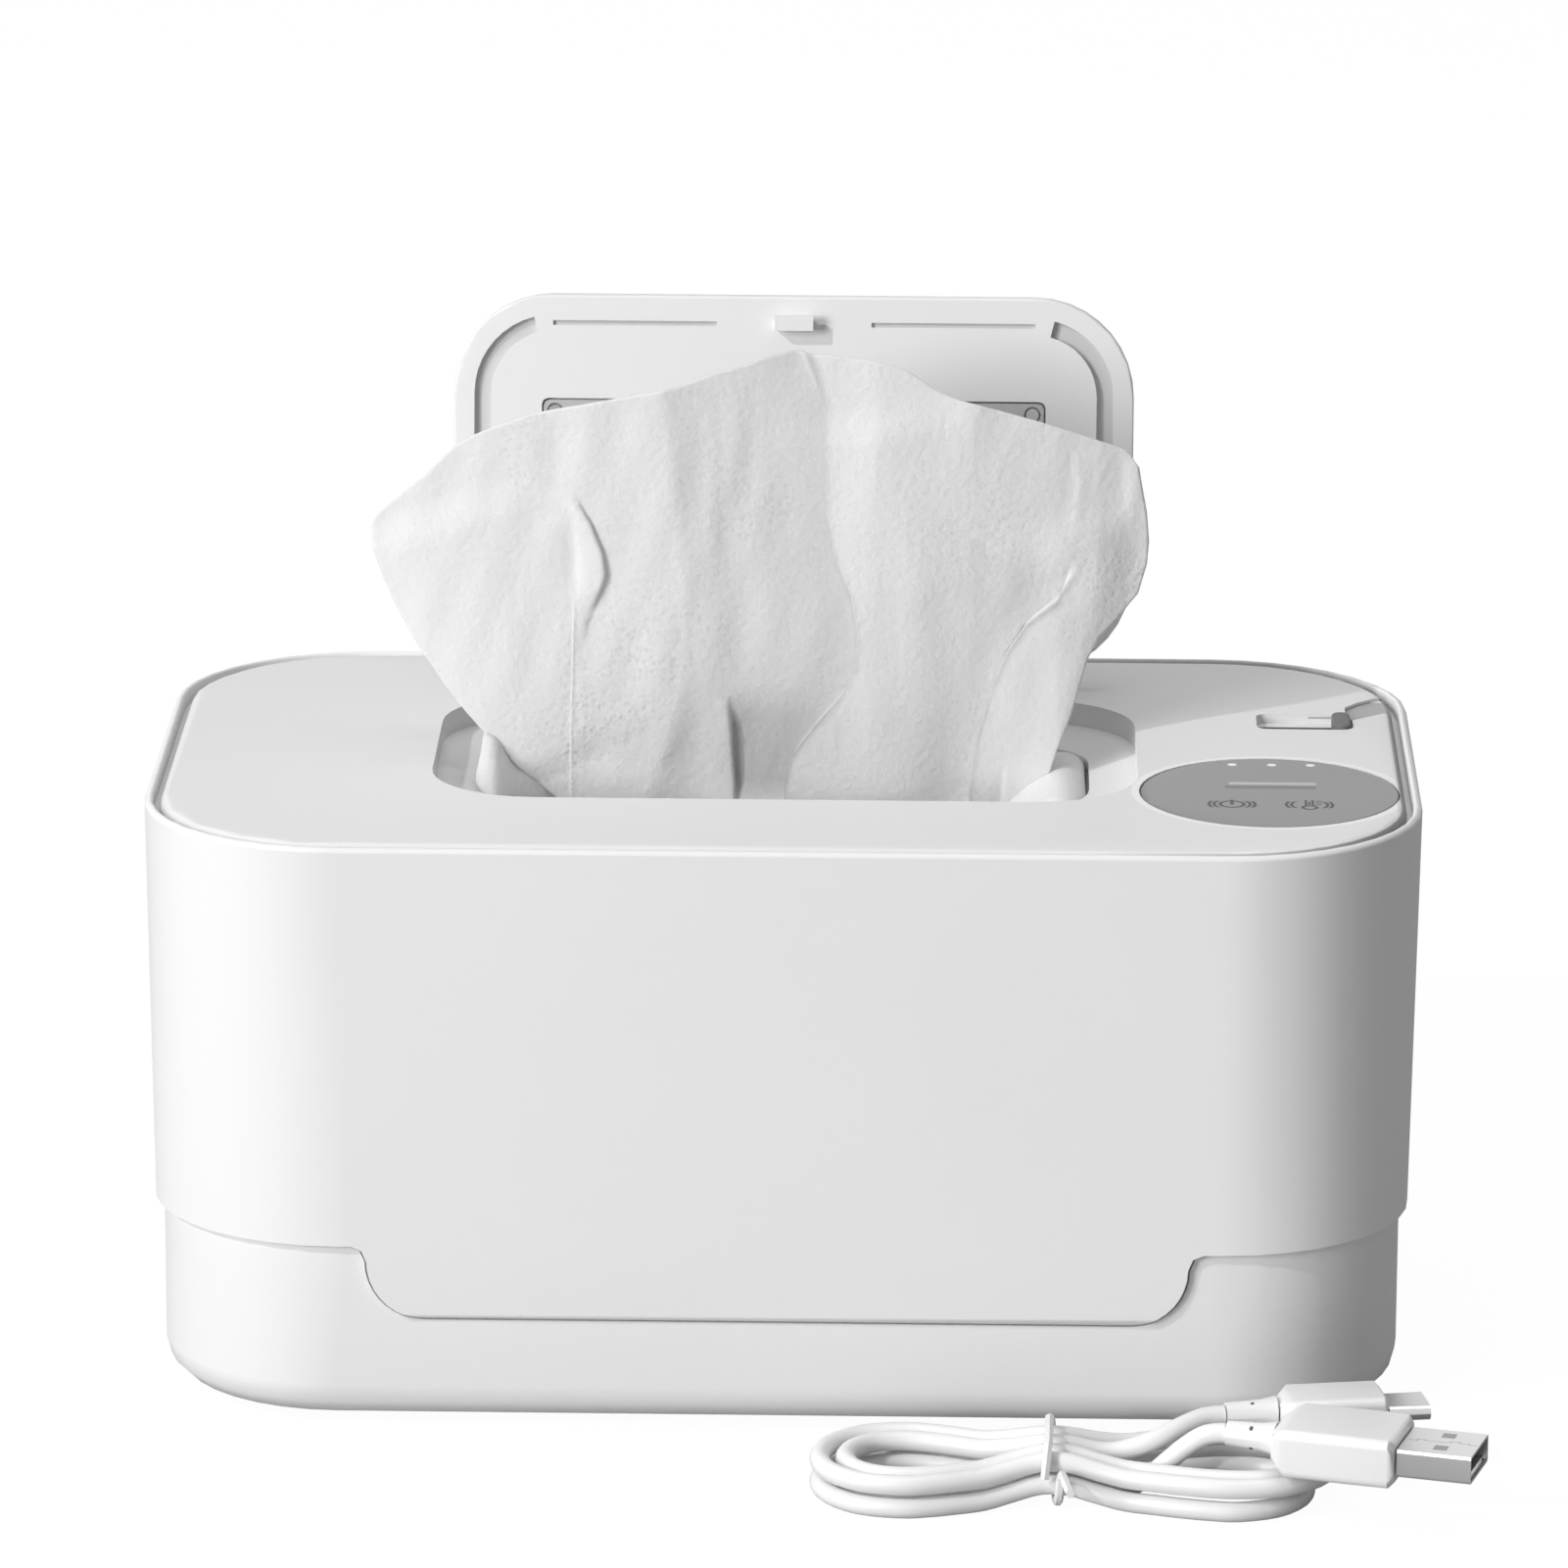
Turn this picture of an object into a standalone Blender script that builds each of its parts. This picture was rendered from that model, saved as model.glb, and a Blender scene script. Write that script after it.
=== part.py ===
"""Baby wipe warmer: a base tray, a lift-off heated housing with a flip lid, and its tied USB cable.

Metres, +Z up, the front faces -Y. The origin lies under the middle of the feet, on the table.
"""

import math

import bmesh
import bpy
from mathutils import Matrix, Vector

# Overall size
HOUSING_WIDTH = 0.205
HOUSING_DEPTH = 0.125
CORNER_RADIUS = 0.032
RIM_HEIGHT = 0.0974
SEAM_HEIGHT = 0.0314
DRAFT = 0.0012
FIT_GAP = 0.0003
CUT_OVERRUN = 0.004

# Feet and base tray
FOOT_RADIUS = 0.006
FOOT_STANDOFF = 0.0015
FOOT_SEAT_DEPTH = 0.001
FOOT_INSET = 0.022
FOOT_SEAT_CLEARANCE = 0.0003
BASE_INSET = 0.0024
BASE_FLOOR = 0.0022
BASE_WALL = 0.0022
BASE_EDGE_RADIUS = 0.0062
BASE_INNER_RADIUS = 0.004
COLLAR_HEIGHT = 0.006
COLLAR_WALL = 0.0016
COLLAR_CLEARANCE = 0.0004
COLLAR_ROOT = 0.003
COLLAR_ROOT_SLOPE = 0.0012

# Outer shell
SHELL_WALL = 0.0022
RIM_WALL = 0.0014
RIM_ROUND = 0.0008
RIM_INNER_ROUND = 0.0003
SHELL_EDGE_ROUND = 0.0008
SHELF_WIDTH = 0.003
SHELF_THICKNESS = 0.002
TONGUE_TOP_HALF = 0.068
TONGUE_BOTTOM_HALF = 0.056
TONGUE_DROP = 0.0121
TONGUE_TOP_RADIUS = 0.0026
TONGUE_GAP = 0.0004

# Top deck
GROOVE_WIDTH = 0.0011
DECK_THICKNESS = 0.0022
DECK_EDGE_ROUND = 0.0014
RECESS_WIDTH_SHARE = 0.558
RECESS_FRONT_SHARE = 0.488
RECESS_REAR_SHARE = 0.5376
RECESS_RADIUS = 0.017
RECESS_DEPTH = 0.0039
RECESS_SLOPE_DROP = 0.0013
RECESS_FLOOR = 0.0031
RECESS_WALL = 0.0018
OPENING_WIDTH_SHARE = 0.8654
OPENING_FRONT_SHARE = 0.656
OPENING_REAR_SHARE = 0.6786
OPENING_FRONT_RADIUS = 0.017
OPENING_REAR_RADIUS = 0.010
CATCH_WIDTH = 0.0084
CATCH_LENGTH = 0.0048
BOSS_RADIUS = 0.0032
BOSS_X_SHARES = (-0.82, 0.56)
BOSS_Y_SHARE = 0.744
LEFT_BOSS_SHARE = 0.82

# Display, touch keys and boards
DISPLAY_X_SHARE = 0.7629
DISPLAY_Y_SHARE = -0.3728
DISPLAY_RADIUS_SHARE = 0.2029
DISPLAY_THICKNESS = 0.001
DISPLAY_SEAT_DEPTH = 0.0013
DISPLAY_LEDGE = 0.0024
DISPLAY_CLEARANCE = 0.0002
GUIDE_THICKNESS = 0.0026
KEY_SPACING_SHARE = 0.596
KEY_OFFSET_SHARE = 0.341
KEY_HOLE_RADIUS = 0.0034
SPRING_RADIUS = 0.0024
SPRING_WIRE = 0.0005
SPRING_TURNS = 3
BOARD_SIDE_GAP = 0.0022
BOARD_WALL_GAP = 0.0120
BOARD_FRONT_GAP = 0.0185
BOARD_REAR_GAP = 0.0065
BOARD_OUTER_RADIUS = 0.018
BOARD_INNER_RADIUS = 0.003
BOARD_THICKNESS = 0.0016
POST_RADIUS = 0.0022
POST_Y_SHARES = (-0.80, 0.50)

# USB socket and its cut-outs
SOCKET_CORNER_GAP = 0.0028
SOCKET_WIDTH = 0.0089
SOCKET_HEIGHT = 0.0032
SOCKET_LENGTH = 0.0074
SOCKET_WALL = 0.0004
SOCKET_TONGUE = 0.0008
PLUG_CUT_WIDTH = 0.0126
PLUG_CUT_HEIGHT = 0.0070
PLUG_CUT_DEPTH = 0.0012
SOCKET_CLEARANCE = 0.0004

# Slide switch
SLOT_LEFT_SHARE = 0.7541
SLOT_RIGHT_SHARE = 0.9093
SLOT_FRONT_SHARE = 0.2608
SLOT_REAR_SHARE = 0.416
SLOT_RADIUS = 0.0018
SLOT_DEPTH = 0.0016
SLIDER_LENGTH = 0.0030
SLIDER_RISE = 0.0006
SLIDER_CLEARANCE = 0.0004
STEM_LENGTH = 0.0020
STEM_WIDTH = 0.0022
STEM_CLEARANCE = 0.0005
SLIDER_TRAVEL_SHARE = 0.78
RUN_OUT_DEPTH = 0.0006
RUN_OUT_WIDTH = 0.0112
RUN_OUT_START_SHARE = 0.54
RUN_OUT_OVERLAP = 0.0010
RUN_OUT_CORNER = 0.0022
RUN_OUT_TURN_DEG = 41.0
SWITCH_HEIGHT = 0.0014
SWITCH_WIDTH = 0.0066

# Liner, heater and seal
LINER_INSET = 0.0046
LINER_WALL = 0.0014
LINER_COLLAR_GAP = 0.0046
LINER_ROUND = 0.002
CHUTE_STEP = 0.0003
CHUTE_WALL = 0.0014
SEAL_HEIGHT = 0.0010
SEAL_WIDTH = 0.0020
HEATER_LEFT_SHARE = 0.751
HEATER_RIGHT_SHARE = 0.5659
HEATER_DEPTH_SHARE = 0.672
HEATER_RADIUS = 0.006
HEATER_HOLE_SIDE_GAP = 0.0030
HEATER_HOLE_FRONT_GAP = 0.0015
HEATER_HOLE_REAR_GAP = 0.0077
HEATER_THICKNESS = 0.0010
PAD_THICKNESS = 0.0020
PAD_END_GAP = 0.0070
PAD_CLEARANCE = 0.0016
SENSOR_RADIUS = 0.0009
SENSOR_LENGTH = 0.0050
SENSOR_Y_SHARE = -0.608
LEAD_RADIUS = 0.0007
LEAD_Y_SHARE = 0.592
LEAD_DRIFT = 0.0050
SCREW_HEAD_RADIUS = 0.0026
SCREW_HEAD_HEIGHT = 0.0013
SCREW_RADIUS = 0.0012
SCREW_HOLE_RADIUS = 0.0016
SCREW_LENGTH = 0.0060

# Lid and hinge. A lid measure runs back from its pin when the lid is shut.
PIN_RECESS_GAP = 0.0054
PIN_DROP = 0.0030
PIN_RADIUS = 0.0012
PIN_LENGTH = 0.0200
PIN_HOLE_RADIUS = 0.0015
LID_LEAN_DEG = 8.0
LID_SIDE_GAP = 0.0005
LID_FRONT_GAP = 0.0006
LID_REAR_GAP = 0.0008
LID_RADIUS = 0.0165
LID_THICKNESS = 0.0036
LID_EDGE_ROUND = 0.0009
ARM_X_SHARE = 0.5595
ARM_WIDTH = 0.0120
ARM_CLEARANCE = 0.0006
KNUCKLE_RADIUS = 0.0027
NOTCH_CLEARANCE = 0.0043
LUG_WIDTH = 0.0050
LUG_DROP = 0.0042
LINE_INSET = 0.0047
LINE_WIDTH = 0.0008
LINE_DEPTH = 0.0006
LINE_GAP_HALF = 0.0129
BAND_OUTER_INSET = 0.0034
BAND_WIDTH = 0.0028
BAND_DEPTH = 0.0012
BAND_END_ANGLE_DEG = 14.0
BAND_REAR_SHARE = 0.62
PLATE_WIDTH_SHARE = 0.741
PLATE_FRONT_SHARE = 0.276
PLATE_LENGTH_SHARE = 0.606
PLATE_POCKET = 0.0014
PLATE_THICKNESS = 0.0010
PLATE_CLEARANCE = 0.0003
PLATE_CORNER = 0.0010
PLATE_SCREW_INSET = 0.0022
LID_SCREW_RADIUS = 0.0011
LID_SCREW_HEIGHT = 0.0007
HOOK_WIDTH = 0.0064
HOOK_DEPTH = 0.0032
HOOK_STEM = 0.0016
HOOK_LIP = 0.0009
HOOK_LIP_HEIGHT = 0.0012

# Wipes
STACK_SIDE_GAP = 0.0205
STACK_END_GAP = 0.0165
STACK_HEADROOM = 0.0230
STACK_RADIUS = 0.004
STACK_CROWN = 0.003
WIPE_THICKNESS = 0.0008
WIPE_COLUMNS = 40
WIPE_ROWS = 13
WIPE_FOOT_GAP = 0.0006
WIPE_LEFT_SHARES = (
    (0.0, -0.606), (0.37, -0.758), (0.53, -1.02), (0.63, -1.156), (0.85, -1.327), (1.0, -1.368),
)
WIPE_RIGHT_SHARES = ((0.0, 0.667), (0.32, 0.838), (0.48, 0.939), (0.62, 1.02), (0.80, 1.188), (1.0, 1.16))
WIPE_RISE = 0.0665
WIPE_TOP_SHARES = (
    (-1.0, 0.558), (-0.91, 0.663), (-0.78, 0.762), (-0.54, 0.856), (-0.35, 0.884), (-0.12, 0.944),
    (0.03, 0.985), (0.11, 1.0), (0.23, 0.986), (0.38, 0.964), (0.45, 0.911), (0.55, 0.887),
    (0.75, 0.842), (0.92, 0.777), (1.0, 0.752),
)
WIPE_FOLDS = 4.5
WIPE_FOLD_SHARE = 0.306
WIPE_FOOT_FOLD_SHARE = 0.388
WIPE_LEAN = 0.0060

# USB cable, tied in a hank on the table in front of the right half
CORD_RADIUS = 0.0016
HANK_X_SHARE = 0.429
HANK_FRONT_GAP = 0.0235
HANK_LEFT_CENTRE = 0.0240
HANK_RIGHT_CENTRE = 0.0290
HANK_INNER_RADIUS = 0.0086
STRAND_STEP = 0.0041
LAYER_STEP = 0.00375
FLOOR_GAP = 0.0001
TIE_RADIUS = 0.00075
TIE_CLEARANCE = 0.0005
TIE_PITCH = 0.0026
TIE_TAIL = 0.0120
TIE_CORNER = 0.0030
RUN_POINTS = 6
BEND_POINTS = 6
END_POINTS = 9
PLUG_START = 0.0270
PLUG_LEVEL_SHARE = 0.96
PLUG_DRIFT_SHARE = 0.55
LOWER_END_RISE_SHARE = 0.42
LOWER_END_INWARD_SHARE = 0.40
UPPER_END_RISE_SHARE = 0.20
RELIEF_LENGTH = 0.0080
RELIEF_RADIUS = 0.0026
USB_A_SIDE = -0.0036
USB_A_TURN_DEG = -16.0
USB_A_WIDTH = 0.0158
USB_A_HEIGHT = 0.0080
USB_A_LENGTH = 0.0200
USB_A_ROUND = 0.0016
USB_A_METAL_WIDTH = 0.0120
USB_A_METAL_HEIGHT = 0.0045
USB_A_METAL_LENGTH = 0.0118
USB_A_METAL_WALL = 0.0004
USB_C_SIDE = 0.0072
USB_C_TURN_DEG = 10.0
USB_C_WIDTH = 0.0104
USB_C_HEIGHT = 0.0064
USB_C_LENGTH = 0.0170
USB_C_ROUND = 0.0014
USB_C_METAL_WIDTH = 0.0083
USB_C_METAL_HEIGHT = 0.0025
USB_C_METAL_LENGTH = 0.0066
USB_C_METAL_WALL = 0.0004
METAL_ROOT = 0.0003

# Mesh fineness, in counts
CORNER_STEPS = 9
ROUND_STEPS = 2
TURN_STEPS = 24

# Places worked out from the sizes above
HALF_WIDTH = HOUSING_WIDTH / 2
HALF_DEPTH = HOUSING_DEPTH / 2
RECESS_HALF_WIDTH = HALF_WIDTH * RECESS_WIDTH_SHARE
RECESS_FRONT = HALF_DEPTH * RECESS_FRONT_SHARE
RECESS_REAR = HALF_DEPTH * RECESS_REAR_SHARE
OPENING_HALF_WIDTH = RECESS_HALF_WIDTH * OPENING_WIDTH_SHARE
OPENING_FRONT = RECESS_FRONT * OPENING_FRONT_SHARE
OPENING_REAR = RECESS_REAR * OPENING_REAR_SHARE
CHUTE_HALF_WIDTH = OPENING_HALF_WIDTH - CHUTE_STEP
CHUTE_FRONT = OPENING_FRONT - CHUTE_STEP
CHUTE_REAR = OPENING_REAR - CHUTE_STEP
DISPLAY_X = HALF_WIDTH * DISPLAY_X_SHARE
DISPLAY_Y = HALF_DEPTH * DISPLAY_Y_SHARE
DISPLAY_RADIUS = HALF_WIDTH * DISPLAY_RADIUS_SHARE
SLOT_LEFT = HALF_WIDTH * SLOT_LEFT_SHARE
SLOT_RIGHT = HALF_WIDTH * SLOT_RIGHT_SHARE
SLOT_FRONT = HALF_DEPTH * SLOT_FRONT_SHARE
SLOT_REAR = HALF_DEPTH * SLOT_REAR_SHARE
SLIDER_TRAVEL = (SLOT_RIGHT - SLOT_LEFT - SLIDER_LENGTH) * SLIDER_TRAVEL_SHARE
SOCKET_X = HALF_WIDTH - CORNER_RADIUS - SOCKET_CORNER_GAP
BOARD_LEFT = RECESS_HALF_WIDTH + RECESS_WALL + BOARD_SIDE_GAP
BOARD_RIGHT = HALF_WIDTH - BOARD_WALL_GAP
BOARD_FRONT = BOARD_FRONT_GAP - HALF_DEPTH
BOARD_REAR = HALF_DEPTH - BOARD_REAR_GAP
HEATER_LEFT = HALF_WIDTH * HEATER_LEFT_SHARE
HEATER_RIGHT = HALF_WIDTH * HEATER_RIGHT_SHARE
HEATER_HALF_DEPTH = HALF_DEPTH * HEATER_DEPTH_SHARE
HEATER_HOLE_HALF_WIDTH = CHUTE_HALF_WIDTH + HEATER_HOLE_SIDE_GAP
HEATER_HOLE_FRONT = RECESS_FRONT - HEATER_HOLE_FRONT_GAP
HEATER_HOLE_REAR = CHUTE_REAR + HEATER_HOLE_REAR_GAP
STACK_HALF_WIDTH = HALF_WIDTH - STACK_SIDE_GAP
STACK_HALF_DEPTH = HALF_DEPTH - STACK_END_GAP
HANK_X = HALF_WIDTH * HANK_X_SHARE
HANK_Y = -HALF_DEPTH - HANK_FRONT_GAP
DECK_INSET = RIM_WALL + GROOVE_WIDTH
DECK_BOTTOM = RIM_HEIGHT - DECK_THICKNESS
SHELF_TOP = DECK_BOTTOM - FIT_GAP
SHELF_BOTTOM = SHELF_TOP - SHELF_THICKNESS
TONGUE_BOTTOM = SEAM_HEIGHT - TONGUE_DROP
RECESS_TOP = RIM_HEIGHT - RECESS_DEPTH
RECESS_BOTTOM = RECESS_TOP - RECESS_FLOOR
BASE_FLOOR_TOP = FOOT_STANDOFF + BASE_FLOOR
COLLAR_INSET = DRAFT + SHELL_WALL + COLLAR_CLEARANCE
SEAL_TOP = RECESS_BOTTOM - FIT_GAP
SEAL_BOTTOM = SEAL_TOP - SEAL_HEIGHT
DISPLAY_BOTTOM = RIM_HEIGHT - DISPLAY_THICKNESS
GUIDE_TOP = DISPLAY_BOTTOM - FIT_GAP
GUIDE_BOTTOM = GUIDE_TOP - GUIDE_THICKNESS
BOARD_TOP = GUIDE_BOTTOM - FIT_GAP
BOARD_BOTTOM = BOARD_TOP - BOARD_THICKNESS
PAD_BOTTOM = BOARD_BOTTOM - PAD_CLEARANCE - PAD_THICKNESS
HEATER_TOP = PAD_BOTTOM - FIT_GAP
HEATER_BOTTOM = HEATER_TOP - HEATER_THICKNESS
CEILING_TOP = HEATER_BOTTOM - FIT_GAP
LINER_CEILING = CEILING_TOP - LINER_WALL
LINER_BOTTOM = SEAM_HEIGHT + COLLAR_HEIGHT + LINER_COLLAR_GAP
STACK_TOP = LINER_CEILING - STACK_HEADROOM
SOCKET_TOP = BOARD_BOTTOM - FIT_GAP
SOCKET_BOTTOM = SOCKET_TOP - SOCKET_HEIGHT
SOCKET_MIDDLE = (SOCKET_TOP + SOCKET_BOTTOM) / 2
SLOT_FLOOR = RIM_HEIGHT - SLOT_DEPTH
PIN_Z = RIM_HEIGHT - PIN_DROP
PIN_Y = RECESS_REAR + PIN_RECESS_GAP
NOTCH_REAR = PIN_Y + NOTCH_CLEARANCE
ARM_X = RECESS_HALF_WIDTH * ARM_X_SHARE
LID_HALF_WIDTH = RECESS_HALF_WIDTH - LID_SIDE_GAP
LID_OPEN_DEG = 90.0 + LID_LEAN_DEG
LID_FRONT = -RECESS_FRONT + LID_FRONT_GAP
LID_REAR = RECESS_REAR - LID_REAR_GAP
LID_TOP = PIN_DROP
PLATE_HALF_WIDTH = LID_HALF_WIDTH * PLATE_WIDTH_SHARE
PLATE_FRONT = (LID_REAR - LID_FRONT) * PLATE_FRONT_SHARE
PLATE_LENGTH = (LID_REAR - LID_FRONT) * PLATE_LENGTH_SHARE
LID_UNDER = LID_TOP - LID_THICKNESS


def remove_all():
    """Empties the scene before the model is made."""
    for item in list(bpy.data.objects):
        bpy.data.objects.remove(item, do_unlink=True)
    for group in list(bpy.data.collections):
        bpy.data.collections.remove(group)


def new_collection(name):
    """A collection linked to the scene."""
    group = bpy.data.collections.new(name)
    bpy.context.scene.collection.children.link(group)
    return group


def material(name, colour, roughness, metallic=0.0, alpha=1.0):
    """A plain Principled material."""
    made = bpy.data.materials.new(name)
    made.use_nodes = True
    shader = made.node_tree.nodes["Principled BSDF"]
    shader.inputs["Base Color"].default_value = (*colour, 1.0)
    shader.inputs["Roughness"].default_value = roughness
    shader.inputs["Metallic"].default_value = metallic
    shader.inputs["Alpha"].default_value = alpha
    made.diffuse_color = (*colour, alpha)
    return made


remove_all()
PARTS = new_collection("wipe_warmer")
CUTTERS = new_collection("cutters")
WHITE = material("white_plastic", (0.86, 0.86, 0.86), 0.42)
INNER_WHITE = material("inner_plastic", (0.80, 0.80, 0.80), 0.5)
GREY_RUBBER = material("rubber", (0.55, 0.55, 0.55), 0.8)
SMOKED = material("smoked_window", (0.36, 0.36, 0.36), 0.12)
SILICONE = material("silicone", (0.75, 0.75, 0.75), 0.55)
STEEL = material("steel", (0.62, 0.62, 0.63), 0.3, 1.0)
ALUMINIUM = material("aluminium", (0.75, 0.75, 0.76), 0.35, 1.0)
BOARD_GREEN = material("circuit_board", (0.05, 0.22, 0.12), 0.5)
FOAM = material("foam", (0.70, 0.70, 0.68), 0.9)
CLOTH = material("wipe_cloth", (0.90, 0.90, 0.90), 0.85)
CABLE_WHITE = material("cable_jacket", (0.86, 0.86, 0.86), 0.45)


def add_object(name, mesh, finish, collection=None):
    """Links a mesh as one named object."""
    made = bpy.data.objects.new(name, mesh)
    (collection or PARTS).objects.link(made)
    if finish:
        mesh.materials.append(finish)
        mesh.shade_smooth()
        mesh.set_sharp_from_angle(angle=math.radians(32))
    return made


def cutter(made):
    """Marks an object as a helper that only cuts."""
    made.hide_render = True
    made.display_type = "WIRE"
    return made


def boolean(target, helper, operation="DIFFERENCE"):
    """Cuts or joins helper, with a modifier that stays live."""
    step = target.modifiers.new(helper.name, "BOOLEAN")
    step.operation = operation
    step.solver = "EXACT"
    step.object = helper


def corner_arc(centre_x, centre_y, radius, start_deg, steps):
    """A quarter turn of points."""
    return [
        (centre_x + radius * math.cos(angle), centre_y + radius * math.sin(angle))
        for angle in (math.radians(start_deg + 90 * i / steps) for i in range(steps + 1))
    ]


def rounded_box_outline(left, right, front, rear, front_radius, rear_radius=None, steps=CORNER_STEPS):
    """A rectangle with round corners, anticlockwise from its front right corner."""
    rear_radius = front_radius if rear_radius is None else rear_radius
    return (
        corner_arc(right - front_radius, front + front_radius, front_radius, -90, steps)
        + corner_arc(right - rear_radius, rear - rear_radius, rear_radius, 0, steps)
        + corner_arc(left + rear_radius, rear - rear_radius, rear_radius, 90, steps)
        + corner_arc(left + front_radius, front + front_radius, front_radius, 180, steps)
    )


def body_outline(inset):
    """The housing's outline in plan, drawn in by inset."""
    return rounded_box_outline(
        inset - HALF_WIDTH, HALF_WIDTH - inset, inset - HALF_DEPTH, HALF_DEPTH - inset,
        CORNER_RADIUS - inset,
    )


def at_height(outline, height):
    return [Vector((x, y, height)) for x, y in outline]


def loft(name, rings, finish, ring_shaped=False, collection=None):
    """A solid through rings of equal count: closed on itself, or capped at both ends."""
    shape = bmesh.new()
    loops = [[shape.verts.new(point) for point in ring] for ring in rings]
    pairs = list(zip(loops, loops[1:]))
    if ring_shaped:
        pairs.append((loops[-1], loops[0]))
    for lower, upper in pairs:
        for i, vert in enumerate(lower):
            j = (i + 1) % len(lower)
            shape.faces.new((vert, lower[j], upper[j], upper[i]))
    if not ring_shaped:
        shape.faces.new(loops[0])
        shape.faces.new(loops[-1])
    bmesh.ops.recalc_face_normals(shape, faces=shape.faces)
    mesh = bpy.data.meshes.new(name)
    shape.to_mesh(mesh)
    shape.free()
    return add_object(name, mesh, finish, collection)


def prism(name, outline, low, high, finish=None, collection=None):
    """An outline raised from low to high along Z."""
    return loft(name, [at_height(outline, low), at_height(outline, high)], finish, collection=collection)


def cut_prism(name, outline, low, high):
    return cutter(prism(name, outline, low, high, collection=CUTTERS))


def box_outline(left, right, front, rear):
    return [(right, front), (right, rear), (left, rear), (left, front)]


def cylinder(name, radius, depth, centre, axis="Z", steps=TURN_STEPS, finish=None, collection=None):
    """A plain round bar along one axis."""
    shape = bmesh.new()
    bmesh.ops.create_cone(
        shape, cap_ends=True, segments=steps, radius1=radius, radius2=radius, depth=depth
    )
    turn = {
        "X": Matrix.Rotation(math.radians(90), 4, "Y"),
        "Y": Matrix.Rotation(math.radians(90), 4, "X"),
        "Z": Matrix.Identity(4),
    }[axis]
    bmesh.ops.transform(shape, matrix=Matrix.Translation(centre) @ turn, verts=shape.verts)
    mesh = bpy.data.meshes.new(name)
    shape.to_mesh(mesh)
    shape.free()
    return add_object(name, mesh, finish, collection)


def cut_cylinder(name, radius, depth, centre, axis="Z", steps=TURN_STEPS):
    return cutter(cylinder(name, radius, depth, centre, axis, steps, collection=CUTTERS))


def turned(name, profile, centre, finish, steps=TURN_STEPS):
    """A profile of (radius, height) points, from the axis down its outer side and back, turned about Z."""
    mesh = bpy.data.meshes.new(name)
    mesh.from_pydata([(r, 0, h) for r, h in profile], [(i, i + 1) for i in range(len(profile) - 1)], [])
    made = add_object(name, mesh, finish)
    made.location = centre
    spin = made.modifiers.new("turn", "SCREW")
    spin.steps = steps
    spin.render_steps = steps
    spin.use_merge_vertices = True
    spin.merge_threshold = 0.00001
    spin.use_smooth_shade = True
    return made


def tube(name, points, radius, finish, resolution=1, cyclic=False):
    """A round bar along points, with filled ends."""
    line = bpy.data.curves.new(name, "CURVE")
    line.dimensions = "3D"
    line.bevel_depth = radius
    line.bevel_resolution = resolution
    line.use_fill_caps = True
    spline = line.splines.new("POLY")
    spline.points.add(len(points) - 1)
    for slot, point in zip(spline.points, points):
        slot.co = (*point, 1.0)
    spline.use_cyclic_u = cyclic
    made = bpy.data.objects.new(name, line)
    PARTS.objects.link(made)
    line.materials.append(finish)
    return made


def quarter_round(inset, height, radius, out_first):
    """(inset, height) points of a convex edge whose square corner is at inset and height.

    out_first runs from the wall up to the top face, otherwise from the top face down to the wall.
    """
    points = []
    for i in range(ROUND_STEPS + 1):
        angle = math.radians(90 * i / ROUND_STEPS)
        points.append((inset + radius * (1 - math.cos(angle)), height - radius * (1 - math.sin(angle))))
    return points if out_first else points[::-1]


def smooth_share(value):
    """Eases from 0 to 1."""
    value = min(1.0, max(0.0, value))
    return value * value * (3 - 2 * value)


def read_table(table, where):
    """Straight reading between (place, value) pairs."""
    for (low, first), (high, last) in zip(table, table[1:]):
        if where <= high:
            return first + (last - first) * (where - low) / (high - low)
    return table[-1][1]


def tongue_outline(grow, bottom):
    """The front tongue seen from the front, with the seam line that it hangs from, grown by grow."""
    top = SEAM_HEIGHT - grow
    low = bottom - grow
    side = TONGUE_TOP_HALF + grow
    foot = TONGUE_BOTTOM_HALF + grow
    sweep = side - TONGUE_TOP_RADIUS - foot
    drop = top - TONGUE_TOP_RADIUS - low
    right = [
        (
            foot + sweep * math.sin(math.radians(90 * i / CORNER_STEPS)),
            low + drop * (1 - math.cos(math.radians(90 * i / CORNER_STEPS))),
        )
        for i in range(CORNER_STEPS + 1)
    ]
    shoulder = [
        (
            side - TONGUE_TOP_RADIUS * math.cos(math.radians(45 * i)),
            top - TONGUE_TOP_RADIUS * (1 - math.sin(math.radians(45 * i))),
        )
        for i in range(1, 3)
    ]
    half = right + shoulder
    return [(-x, z) for x, z in reversed(half)] + half


def shell_profile():
    """(inset, height) points once round the shell wall's section."""
    outer_low = DRAFT
    inner_low = DRAFT + SHELL_WALL
    bottom = TONGUE_BOTTOM
    lower_edge = [
        (outer_low + SHELL_EDGE_ROUND, bottom),
        (outer_low, bottom + SHELL_EDGE_ROUND),
    ]
    rim_out = quarter_round(0.0, RIM_HEIGHT, RIM_ROUND, True)
    rim_in = [(RIM_WALL - RIM_INNER_ROUND, RIM_HEIGHT), (RIM_WALL, RIM_HEIGHT - RIM_INNER_ROUND)]
    inside = [
        (RIM_WALL, SHELF_TOP),
        (DECK_INSET + SHELF_WIDTH, SHELF_TOP),
        (DECK_INSET + SHELF_WIDTH, SHELF_BOTTOM),
        (inner_low, SHELF_BOTTOM - SHELF_THICKNESS),
        (inner_low, bottom),
    ]
    return lower_edge + rim_out + rim_in + inside


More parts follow.
